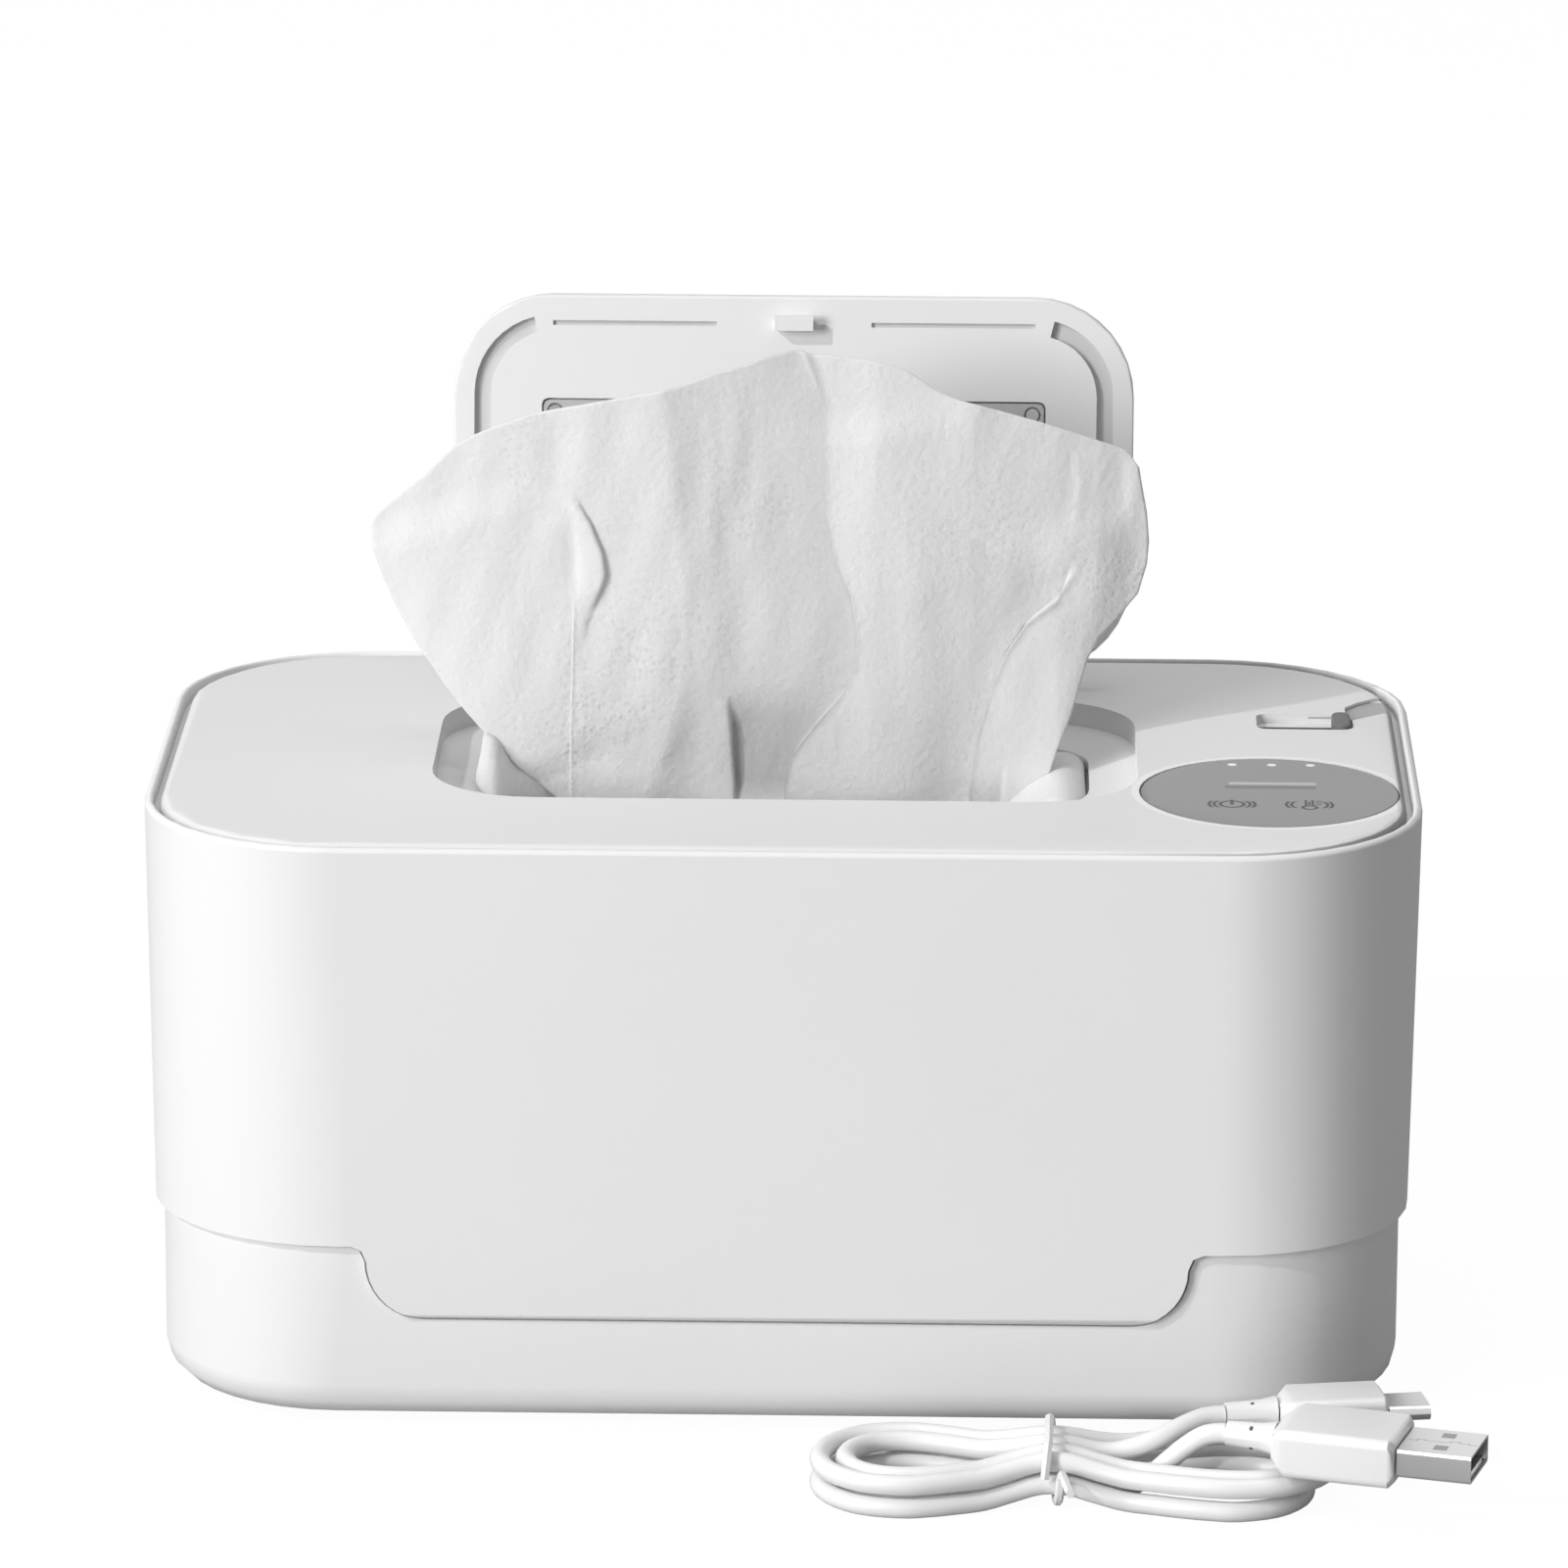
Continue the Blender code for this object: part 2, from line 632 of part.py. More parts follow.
def seam_cutter(name, grow, low, front, rear):
    """Everything below the seam, with the tongue left out of it, as a cutter along Y."""
    wide = HALF_WIDTH + CUT_OVERRUN
    outline = [(-wide, low), (-wide, SEAM_HEIGHT - grow)]
    outline += tongue_outline(grow, TONGUE_BOTTOM)
    outline += [(wide, SEAM_HEIGHT - grow), (wide, low)]
    rings = [[Vector((x, y, z)) for x, z in outline] for y in (front, rear)]
    return cutter(loft(name, rings, None, collection=CUTTERS))


def make_outer_shell():
    """The housing's outer wall with its rim, deck shelf and front tongue."""
    rings = [at_height(body_outline(inset), height) for inset, height in shell_profile()]
    shell = loft("outer_shell", rings, WHITE, ring_shaped=True)
    below = TONGUE_BOTTOM - CUT_OVERRUN
    front = -HALF_DEPTH - CUT_OVERRUN
    boolean(shell, seam_cutter("below_front_seam", 0.0, below, front, -HALF_DEPTH + CORNER_RADIUS))
    rear_box = box_outline(
        -HALF_WIDTH - CUT_OVERRUN, HALF_WIDTH + CUT_OVERRUN,
        -HALF_DEPTH + CORNER_RADIUS - CUT_OVERRUN, HALF_DEPTH + CUT_OVERRUN,
    )
    boolean(shell, cut_prism("below_rear_seam", rear_box, below, SEAM_HEIGHT))
    cut_along_y(
        shell, "socket_cut", SOCKET_WIDTH + 2 * SOCKET_CLEARANCE, SOCKET_HEIGHT + 2 * SOCKET_CLEARANCE,
        HALF_DEPTH - SHELL_WALL - CUT_OVERRUN,
    )
    cut_along_y(shell, "plug_cut", PLUG_CUT_WIDTH, PLUG_CUT_HEIGHT, HALF_DEPTH - PLUG_CUT_DEPTH)
    return shell


def cut_along_y(target, name, width, height, start):
    """A cut with round ends through the rear wall, from start outwards, at the USB socket."""
    outline = rounded_box_outline(
        SOCKET_X - width / 2, SOCKET_X + width / 2, SOCKET_MIDDLE - height / 2, SOCKET_MIDDLE + height / 2,
        height * 0.45, steps=4,
    )
    rings = [[Vector((x, y, z)) for x, z in outline] for y in (start, HALF_DEPTH + CUT_OVERRUN)]
    boolean(target, cutter(loft(name, rings, None, collection=CUTTERS)))


def make_base_tray():
    """The lower tray, its locating collar and the recess behind the tongue."""
    bottom = FOOT_STANDOFF
    top = SEAM_HEIGHT - FIT_GAP
    wall_inset = BASE_INSET + BASE_WALL
    collar_inner = COLLAR_INSET + COLLAR_WALL
    profile = []
    for i in range(4):
        angle = math.radians(90 * i / 3)
        profile.append(
            (
                BASE_INSET + BASE_EDGE_RADIUS * (1 - math.sin(angle)),
                bottom + BASE_EDGE_RADIUS * (1 - math.cos(angle)),
            )
        )
    profile += [
        (BASE_INSET, top),
        (COLLAR_INSET, top),
        (COLLAR_INSET, top + COLLAR_HEIGHT),
        (collar_inner, top + COLLAR_HEIGHT),
        (collar_inner, top - COLLAR_ROOT),
        (wall_inset, top - COLLAR_ROOT - COLLAR_ROOT_SLOPE),
        (wall_inset, BASE_FLOOR_TOP + BASE_INNER_RADIUS),
        (wall_inset + BASE_INNER_RADIUS * 0.3, BASE_FLOOR_TOP + BASE_INNER_RADIUS * 0.3),
        (wall_inset + BASE_INNER_RADIUS, BASE_FLOOR_TOP),
    ]
    rings = [at_height(body_outline(inset), height) for inset, height in profile]
    tray = loft("base_tray", rings, WHITE)
    recess_front = -HALF_DEPTH - CUT_OVERRUN
    recess_rear = -HALF_DEPTH + DRAFT + SHELL_WALL + FIT_GAP
    outline = tongue_outline(TONGUE_GAP, TONGUE_BOTTOM)
    outline = [
        (-TONGUE_TOP_HALF - TONGUE_GAP, SEAM_HEIGHT), *outline,
        (TONGUE_TOP_HALF + TONGUE_GAP, SEAM_HEIGHT),
    ]
    rings = [[Vector((x, y, z)) for x, z in outline] for y in (recess_front, recess_rear)]
    boolean(tray, cutter(loft("tongue_recess", rings, None, collection=CUTTERS)))
    for name, x, y in foot_places():
        seat = FOOT_SEAT_DEPTH + CUT_OVERRUN
        centre = (x, y, bottom + FOOT_SEAT_DEPTH - seat / 2)
        boolean(tray, cut_cylinder("seat_" + name, FOOT_RADIUS + FOOT_SEAT_CLEARANCE, seat, centre))
    return tray


def foot_places():
    """(name, x, y) of each foot."""
    x = HALF_WIDTH - FOOT_INSET
    y = HALF_DEPTH - FOOT_INSET
    return [
        ("foot_front_left", -x, -y),
        ("foot_front_right", x, -y),
        ("foot_rear_left", -x, y),
        ("foot_rear_right", x, y),
    ]


def make_feet():
    """Four turned rubber feet in their seats."""
    top = FOOT_STANDOFF + FOOT_SEAT_DEPTH - FIT_GAP
    chamfer = FOOT_STANDOFF / 3
    profile = [(0, top), (FOOT_RADIUS, top), (FOOT_RADIUS, chamfer), (FOOT_RADIUS - chamfer, 0), (0, 0)]
    for name, x, y in foot_places():
        turned(name, profile, (x, y, 0), GREY_RUBBER)


def make_top_deck():
    """The inner top panel with the lid's recess, the opening, hinge notches, bosses and seats."""
    edge = quarter_round(DECK_INSET, RIM_HEIGHT, DECK_EDGE_ROUND, True)
    profile = [(DECK_INSET, DECK_BOTTOM)] + edge
    rings = [at_height(body_outline(inset), height) for inset, height in profile]
    deck = loft("top_deck", rings, WHITE)
    tray = prism(
        "recess_tray",
        rounded_box_outline(
            -RECESS_HALF_WIDTH - RECESS_WALL, RECESS_HALF_WIDTH + RECESS_WALL,
            -RECESS_FRONT - RECESS_WALL, RECESS_REAR + RECESS_WALL, RECESS_RADIUS + RECESS_WALL,
        ),
        RECESS_BOTTOM, DECK_BOTTOM + DECK_THICKNESS / 2, collection=CUTTERS,
    )
    boolean(deck, cutter(tray), "UNION")
    for side in (-1, 1):
        make_lugs(deck, side)
    for name, x, y in boss_places():
        low = CEILING_TOP + FIT_GAP
        high = DECK_BOTTOM + DECK_THICKNESS / 2
        boss = cut_cylinder("boss_" + name, BOSS_RADIUS, high - low, (x, y, (low + high) / 2), steps=16)
        boolean(deck, boss, "UNION")
    recess = rounded_box_outline(
        -RECESS_HALF_WIDTH, RECESS_HALF_WIDTH, -RECESS_FRONT, RECESS_REAR, RECESS_RADIUS,
    )
    opening = opening_outline(0.0)
    funnel = [
        at_height(recess, RIM_HEIGHT + CUT_OVERRUN),
        at_height(recess, RECESS_TOP),
        at_height(opening, RECESS_TOP - RECESS_SLOPE_DROP),
    ]
    boolean(deck, cutter(loft("recess_cut", funnel, None, collection=CUTTERS)))
    boolean(
        deck, cut_prism("opening_cut", opening, RECESS_BOTTOM - CUT_OVERRUN, RECESS_TOP + CUT_OVERRUN),
    )
    catch_middle = -RECESS_FRONT + LID_FRONT_GAP + LINE_INSET
    catch = box_outline(
        -CATCH_WIDTH / 2, CATCH_WIDTH / 2, catch_middle - CATCH_LENGTH / 2,
        catch_middle + CATCH_LENGTH / 2,
    )
    boolean(deck, cut_prism("catch_cut", catch, RECESS_BOTTOM - CUT_OVERRUN, RECESS_TOP + CUT_OVERRUN))
    for side in (-1, 1):
        half = ARM_WIDTH / 2 + ARM_CLEARANCE
        notch = box_outline(
            side * ARM_X - half, side * ARM_X + half, RECESS_REAR - CUT_OVERRUN, NOTCH_REAR,
        )
        low = PIN_Z - KNUCKLE_RADIUS - ARM_CLEARANCE
        boolean(deck, cut_prism(f"notch_{side}", notch, low, RIM_HEIGHT + CUT_OVERRUN))
        hole = (side * ARM_X, PIN_Y, PIN_Z)
        boolean(
            deck,
            cut_cylinder(f"pin_hole_{side}", PIN_HOLE_RADIUS, PIN_LENGTH + 2 * FIT_GAP, hole, "X", 16),
        )
    cut_display_seat(deck)
    cut_switch_slot(deck)
    for name, x, y in boss_places():
        depth = SCREW_LENGTH + 2 * FIT_GAP + CUT_OVERRUN
        middle = CEILING_TOP - CUT_OVERRUN + depth / 2
        boolean(deck, cut_cylinder("bore_" + name, SCREW_HOLE_RADIUS, depth, (x, y, middle), steps=12))
    return deck


def opening_outline(step):
    """The dispensing opening in plan, made smaller all round by a step."""
    return rounded_box_outline(
        step - OPENING_HALF_WIDTH, OPENING_HALF_WIDTH - step, step - OPENING_FRONT, OPENING_REAR - step,
        OPENING_FRONT_RADIUS - step, OPENING_REAR_RADIUS - step,
    )


def make_lugs(deck, side):
    """The two lugs under the deck that carry one hinge pin."""
    for end in (-1, 1):
        inner = side * ARM_X + end * (ARM_WIDTH / 2 + ARM_CLEARANCE)
        outer = inner + end * LUG_WIDTH
        outline = box_outline(
            min(inner, outer), max(inner, outer), RECESS_REAR + RECESS_WALL / 2, NOTCH_REAR,
        )
        lug = prism(
            f"lug_{side}_{end}", outline, DECK_BOTTOM - LUG_DROP, DECK_BOTTOM + DECK_THICKNESS / 2,
            collection=CUTTERS,
        )
        boolean(deck, cutter(lug), "UNION")


def boss_places():
    """(name, x, y) of each screw boss between deck and liner."""
    names = ("left", "right")
    reach = HALF_DEPTH * BOSS_Y_SHARE
    rows = (("front", -reach), ("rear", reach))
    return [
        (f"{row}_{name}", share * HALF_WIDTH, y * (LEFT_BOSS_SHARE if share < 0 else 1.0))
        for name, share in zip(names, BOSS_X_SHARES)
        for row, y in rows
    ]


def cut_display_seat(deck):
    """The round seat of the window and the hole of the light guide below it."""
    seat_low = RIM_HEIGHT - DISPLAY_SEAT_DEPTH
    seat_high = RIM_HEIGHT + CUT_OVERRUN
    radius = DISPLAY_RADIUS + DISPLAY_CLEARANCE
    centre = (DISPLAY_X, DISPLAY_Y, (seat_low + seat_high) / 2)
    boolean(deck, cut_cylinder("display_seat", radius, seat_high - seat_low, centre, steps=48))
    hole_low = DECK_BOTTOM - CUT_OVERRUN
    centre = (DISPLAY_X, DISPLAY_Y, (hole_low + seat_high) / 2)
    boolean(
        deck,
        cut_cylinder("guide_hole", DISPLAY_RADIUS - DISPLAY_LEDGE, seat_high - hole_low, centre, steps=32),
    )


def cut_switch_slot(deck):
    """The slide switch's shallow slot, the narrow slit of its stem and the run-out to the deck's edge."""
    slot = rounded_box_outline(SLOT_LEFT, SLOT_RIGHT, SLOT_FRONT, SLOT_REAR, SLOT_RADIUS, steps=3)
    boolean(deck, cut_prism("slot_cut", slot, SLOT_FLOOR, RIM_HEIGHT + CUT_OVERRUN))
    middle_y = (SLOT_FRONT + SLOT_REAR) / 2
    stem_x = slider_middle()
    half = STEM_WIDTH / 2 + STEM_CLEARANCE
    slit = box_outline(
        stem_x - SLIDER_TRAVEL - STEM_LENGTH / 2 - STEM_CLEARANCE,
        stem_x + STEM_LENGTH / 2 + STEM_CLEARANCE,
        middle_y - half, middle_y + half,
    )
    boolean(deck, cut_prism("stem_slit", slit, DECK_BOTTOM - CUT_OVERRUN, SLOT_FLOOR + CUT_OVERRUN))
    left = SLOT_RIGHT - RUN_OUT_OVERLAP
    right = HALF_WIDTH + CUT_OVERRUN
    low = SLOT_FRONT + (SLOT_REAR - SLOT_FRONT) * RUN_OUT_START_SHARE
    high = low + RUN_OUT_WIDTH
    climb = (right - left) * math.tan(math.radians(RUN_OUT_TURN_DEG))
    run_out = [
        (left, low), (right, low + climb), (right, high + climb), (
            left + RUN_OUT_CORNER, high + RUN_OUT_CORNER / 2,
        ),
        (left, high - RUN_OUT_CORNER),
    ]
    boolean(deck, cut_prism("run_out", run_out, RIM_HEIGHT - RUN_OUT_DEPTH, RIM_HEIGHT + CUT_OVERRUN))


def slider_middle():
    """The slider's middle along X at rest, at the slot's right end."""
    return SLOT_RIGHT - SLIDER_CLEARANCE - SLIDER_LENGTH / 2


def make_display():
    """The smoked window, the light guide under it and the touch key springs."""
    edge = DISPLAY_THICKNESS / 4
    profile = [
        (0, DISPLAY_THICKNESS), (DISPLAY_RADIUS - edge, DISPLAY_THICKNESS), (
            DISPLAY_RADIUS, DISPLAY_THICKNESS - edge,
        ),
        (DISPLAY_RADIUS, 0), (0, 0),
    ]
    turned("display_window", profile, (DISPLAY_X, DISPLAY_Y, DISPLAY_BOTTOM), SMOKED, 48)
    guide_radius = DISPLAY_RADIUS - DISPLAY_LEDGE - FIT_GAP
    centre = (DISPLAY_X, DISPLAY_Y, (GUIDE_TOP + GUIDE_BOTTOM) / 2)
    guide = cylinder("light_guide", guide_radius, GUIDE_THICKNESS, centre, steps=32, finish=INNER_WHITE)
    for name, side in (("power", -1), ("heat", 1)):
        x = DISPLAY_X + side * DISPLAY_RADIUS * KEY_SPACING_SHARE / 2
        y = DISPLAY_Y - DISPLAY_RADIUS * KEY_OFFSET_SHARE
        hole = cut_cylinder(
            "key_hole_" + name, KEY_HOLE_RADIUS, GUIDE_THICKNESS + CUT_OVERRUN, (x, y, centre[2]),
            steps=16,
        )
        boolean(guide, hole)
        make_key_spring("touch_spring_" + name, x, y)


def make_key_spring(name, x, y):
    """A short coil from the board to the window, under one touch key."""
    low = BOARD_TOP + FIT_GAP + SPRING_WIRE
    high = GUIDE_TOP - SPRING_WIRE
    count = 8 * SPRING_TURNS
    points = []
    for i in range(count + 1):
        angle = math.radians(360 * SPRING_TURNS * i / count)
        height = low + (high - low) * i / count
        points.append((x + SPRING_RADIUS * math.cos(angle), y + SPRING_RADIUS * math.sin(angle), height))
    tube(name, points, SPRING_WIRE / 2, STEEL)


def make_board():
    """The control board on posts of the liner."""
    inner, outer = BOARD_INNER_RADIUS, BOARD_OUTER_RADIUS
    outline = (
        corner_arc(BOARD_RIGHT - outer, BOARD_FRONT + outer, outer, -90, CORNER_STEPS)
        + corner_arc(BOARD_RIGHT - outer, BOARD_REAR - outer, outer, 0, CORNER_STEPS)
        + corner_arc(BOARD_LEFT + inner, BOARD_REAR - inner, inner, 90, ROUND_STEPS)
        + corner_arc(BOARD_LEFT + inner, BOARD_FRONT + inner, inner, 180, ROUND_STEPS)
    )
    prism("control_board", outline, BOARD_BOTTOM, BOARD_TOP, BOARD_GREEN)


def make_usb_socket():
    """The receptacle under the board, its mouth in the rear wall's cut-out."""
    mouth = HALF_DEPTH - PLUG_CUT_DEPTH - SHELL_WALL / 4
    low = mouth - SOCKET_LENGTH

    def section(shrink, y, steps=4):
        half_width = SOCKET_WIDTH / 2 - shrink
        half_height = SOCKET_HEIGHT / 2 - shrink
        outline = rounded_box_outline(
            SOCKET_X - half_width, SOCKET_X + half_width,
            SOCKET_MIDDLE - half_height, SOCKET_MIDDLE + half_height,
            half_height * 0.95, steps=steps,
        )
        return [Vector((x, y, z)) for x, z in outline]

    rings = [
        section(0, low), section(0, mouth), section(SOCKET_WALL, mouth),
        section(SOCKET_WALL, low + SOCKET_WALL),
    ]
    socket = loft("usb_socket", rings, STEEL)
    tongue_outline_xz = box_outline(
        SOCKET_X - SOCKET_WIDTH / 3, SOCKET_X + SOCKET_WIDTH / 3,
        SOCKET_MIDDLE - SOCKET_TONGUE / 2, SOCKET_MIDDLE + SOCKET_TONGUE / 2,
    )
    rings = [
        [Vector((x, y, z))
        for x, z in tongue_outline_xz] for y in (low + SOCKET_WALL / 2, mouth - SOCKET_WALL)
    ]
    boolean(socket, cutter(loft("socket_tongue", rings, None, collection=CUTTERS)), "UNION")


def make_slide_switch():
    """The switch body on the board, under the slot."""
    middle_y = (SLOT_FRONT + SLOT_REAR) / 2
    right = SLOT_RIGHT - SLIDER_CLEARANCE
    outline = box_outline(SLOT_LEFT, right, middle_y - SWITCH_WIDTH / 2, middle_y + SWITCH_WIDTH / 2)
    high = DECK_BOTTOM - FIT_GAP
    prism("slide_switch", outline, BOARD_TOP + FIT_GAP, high, STEEL)


def make_slider():
    """The sliding knob, with its origin at its own middle on the slot floor."""
    middle = Vector((slider_middle(), (SLOT_FRONT + SLOT_REAR) / 2, SLOT_FLOOR))
    half_x = SLIDER_LENGTH / 2
    half_y = (SLOT_REAR - SLOT_FRONT) / 2 - SLIDER_CLEARANCE
    low = FIT_GAP
    high = SLOT_DEPTH + SLIDER_RISE
    bevel = SLIDER_RISE / 2
    corner = SLOT_RADIUS - SLIDER_CLEARANCE
    foot = rounded_box_outline(-half_x, half_x, -half_y, half_y, corner, steps=4)
    crown = rounded_box_outline(
        bevel - half_x, half_x - bevel, bevel - half_y, half_y - bevel, corner - bevel, steps=4,
    )
    rings = [at_height(foot, low), at_height(foot, high - bevel), at_height(crown, high)]
    knob = loft("slide_knob", rings, GREY_RUBBER)
    knob.location = middle
    stem_low = DECK_BOTTOM - SLOT_FLOOR
    stem = prism(
        "knob_stem",
        box_outline(-STEM_LENGTH / 2, STEM_LENGTH / 2, -STEM_WIDTH / 2, STEM_WIDTH / 2),
        stem_low, high / 2, collection=CUTTERS,
    )
    stem.location = middle
    boolean(knob, cutter(stem), "UNION")


def make_liner():
    """The chamber's cover: ceiling, skirt, chute round the opening and posts under the board."""
    inner = LINER_INSET + LINER_WALL
    top_edge = quarter_round(LINER_INSET, CEILING_TOP, LINER_ROUND, False)
    profile = top_edge + [
        (LINER_INSET, LINER_BOTTOM),
        (inner, LINER_BOTTOM),
        (inner, LINER_CEILING),
    ]
    rings = [at_height(body_outline(inset), height) for inset, height in profile]
    liner = loft("inner_liner", rings, INNER_WHITE)
    wall = chute_outline(CHUTE_WALL)
    chute = prism(
        "chute_wall", wall, LINER_CEILING + LINER_WALL / 2, SEAL_BOTTOM - FIT_GAP, collection=CUTTERS,
    )
    boolean(liner, cutter(chute), "UNION")
    for share in POST_Y_SHARES:
        low = LINER_CEILING + LINER_WALL / 2
        high = BOARD_BOTTOM - FIT_GAP
        centre = (post_x(), share * HALF_DEPTH * 0.75, (low + high) / 2)
        boolean(liner, cut_cylinder(f"post_{share}", POST_RADIUS, high - low, centre, steps=12), "UNION")
    boolean(liner, cut_prism("chute_cut", chute_outline(0.0), LINER_CEILING - CUT_OVERRUN, SEAL_TOP))
    for name, x, y in boss_places():
        depth = LINER_WALL + CUT_OVERRUN
        boolean(
            liner,
            cut_cylinder(
                "screw_way_" + name, SCREW_HOLE_RADIUS, depth, (x, y, LINER_CEILING + LINER_WALL / 2),
                steps=12,
            ),
        )


def post_x():
    """The line of the board's posts along X."""
    return BOARD_LEFT + 2 * POST_RADIUS


def chute_outline(grow):
    """The chute's inner outline in plan, grown outwards."""
    return opening_outline(CHUTE_STEP - grow)


def make_seal():
    """The silicone ring between chute and deck."""
    inner = chute_outline(0.0)
    outer = chute_outline(SEAL_WIDTH)
    rings = [
        at_height(outer, SEAL_BOTTOM), at_height(outer, SEAL_TOP), at_height(inner, SEAL_TOP),
        at_height(inner, SEAL_BOTTOM),
    ]
    loft("chute_seal", rings, SILICONE, ring_shaped=True)


def frame_plate(name, right, low, high, finish):
    """A flat plate round the chute."""
    outline = rounded_box_outline(
        -HEATER_LEFT, right, -HEATER_HALF_DEPTH, HEATER_HALF_DEPTH, HEATER_RADIUS, steps=4,
    )
    plate = prism(name, outline, low, high, finish)
    hole = rounded_box_outline(
        -HEATER_HOLE_HALF_WIDTH, HEATER_HOLE_HALF_WIDTH, -HEATER_HOLE_FRONT, HEATER_HOLE_REAR,
        HEATER_RADIUS * 1.5, steps=4,
    )
    boolean(plate, cut_prism(name + "_hole", hole, low - CUT_OVERRUN, high + CUT_OVERRUN))


def make_heater():
    """The heating plate on the ceiling, its foam pad, the temperature sensor and the lead to the board."""
    frame_plate("heater_plate", HEATER_RIGHT, HEATER_BOTTOM, HEATER_TOP, ALUMINIUM)
    pad_right = HEATER_RIGHT - PAD_END_GAP / 2
    frame_plate("insulation_pad", pad_right, PAD_BOTTOM, PAD_BOTTOM + PAD_THICKNESS, FOAM)
    sensor_z = CEILING_TOP + FIT_GAP + SENSOR_RADIUS
    sensor_x = HEATER_RIGHT + FIT_GAP + SENSOR_RADIUS
    cylinder(
        "temperature_sensor", SENSOR_RADIUS, SENSOR_LENGTH,
        (sensor_x, HALF_DEPTH * SENSOR_Y_SHARE, sensor_z), "Y", 12, finish=STEEL,
    )
    lead_y = HALF_DEPTH * LEAD_Y_SHARE
    start = Vector((HEATER_RIGHT - PAD_END_GAP / 4, lead_y, HEATER_TOP + FIT_GAP + LEAD_RADIUS))
    end = Vector((BOARD_LEFT + LEAD_DRIFT, lead_y - LEAD_DRIFT, BOARD_BOTTOM - FIT_GAP - LEAD_RADIUS))
    points = []
    for i in range(9):
        share = i / 8
        bow = math.sin(math.pi * share) * LEAD_RADIUS
        points.append(start.lerp(end, share) + Vector((0, bow, 0)))
    tube("heater_lead", points, LEAD_RADIUS, GREY_RUBBER)


def make_screws():
    """Four screws from the chamber up into the deck's bosses."""
    head_top = LINER_CEILING - FIT_GAP
    head_low = head_top - SCREW_HEAD_HEIGHT
    profile = [
        (0, head_top + SCREW_LENGTH), (SCREW_RADIUS, head_top + SCREW_LENGTH), (SCREW_RADIUS, head_top),
        (SCREW_HEAD_RADIUS, head_top), (SCREW_HEAD_RADIUS, head_low), (0, head_low),
    ]
    for name, x, y in boss_places():
        turned("housing_screw_" + name, profile, (x, y, 0), STEEL, 12)


def lid_empty():
    """The frame of the lid's pieces: on the pin, turned back to the open stop."""
    frame = bpy.data.objects.new("lid_hinge", None)
    PARTS.objects.link(frame)
    frame.location = (0, PIN_Y, PIN_Z)
    frame.rotation_euler = (math.radians(-LID_OPEN_DEG), 0, 0)
    return frame


def lid_outline(inset):
    """The lid's outline when shut, seen from above, measured from the pin."""
    front = LID_FRONT - PIN_Y
    rear = LID_REAR - PIN_Y
    return rounded_box_outline(
        inset - LID_HALF_WIDTH, LID_HALF_WIDTH - inset, front + inset, rear - inset, LID_RADIUS - inset
    )


def make_lid_shell(frame):
    """The lid with its arms, knuckles, hook, and the grooves and pocket of its underside."""
    edge = quarter_round(0.0, LID_TOP, LID_EDGE_ROUND, True)
    rings = [
        at_height(lid_outline(LID_EDGE_ROUND / 3), LID_UNDER),
        at_height(lid_outline(0.0), LID_UNDER + LID_EDGE_ROUND / 3),
    ]
    rings += [at_height(lid_outline(inset), height) for inset, height in edge]
    lid = loft("lid_shell", rings, WHITE)
    helpers = []
    for side in (-1, 1):
        left = side * ARM_X - ARM_WIDTH / 2
        right = side * ARM_X + ARM_WIDTH / 2
        root = LID_REAR - PIN_Y - LID_EDGE_ROUND * 2
        arm = prism(
            f"arm_{side}", box_outline(left, right, root, 0.0), -KNUCKLE_RADIUS * 0.75,
            LID_TOP - FIT_GAP * 2, collection=CUTTERS,
        )
        knuckle = cylinder(
            f"knuckle_{side}", KNUCKLE_RADIUS, ARM_WIDTH, (side * ARM_X, 0, 0), "X", 20,
            collection=CUTTERS,
        )
        helpers += [(arm, "UNION"), (knuckle, "UNION")]
    helpers += hook_helpers()
    for side in (-1, 1):
        bore = cylinder(
            f"knuckle_bore_{side}", PIN_HOLE_RADIUS, ARM_WIDTH + CUT_OVERRUN, (side * ARM_X, 0, 0), "X",
            16, collection=CUTTERS,
        )
        helpers.append((bore, "DIFFERENCE"))
        helpers.append((underside_line(side), "DIFFERENCE"))
        helpers.append((underside_band(side), "DIFFERENCE"))
    pocket = prism(
        "plate_pocket", plate_outline(0.0), LID_UNDER - CUT_OVERRUN, LID_UNDER + PLATE_POCKET,
        collection=CUTTERS,
    )
    helpers.append((pocket, "DIFFERENCE"))
    for helper, operation in helpers:
        helper.parent = frame
        boolean(lid, cutter(helper), operation)
    lid.parent = frame


def hook_helpers():
    """The latch hook near the lid's free edge, as two blocks to join."""
    middle = LID_FRONT - PIN_Y + LINE_INSET
    stem = prism(
        "hook_stem", box_outline(
            -HOOK_WIDTH / 2, HOOK_WIDTH / 2, middle - HOOK_STEM / 2, middle + HOOK_STEM / 2,
        ),
        LID_UNDER - HOOK_DEPTH, LID_UNDER + LID_THICKNESS / 3, collection=CUTTERS,
    )
    lip = prism(
        "hook_lip", box_outline(
            -HOOK_WIDTH / 2, HOOK_WIDTH / 2, middle - HOOK_STEM / 2 - HOOK_LIP, middle,
        ),
        LID_UNDER - HOOK_DEPTH, LID_UNDER - HOOK_DEPTH + HOOK_LIP_HEIGHT, collection=CUTTERS,
    )
    return [(stem, "UNION"), (lip, "UNION")]


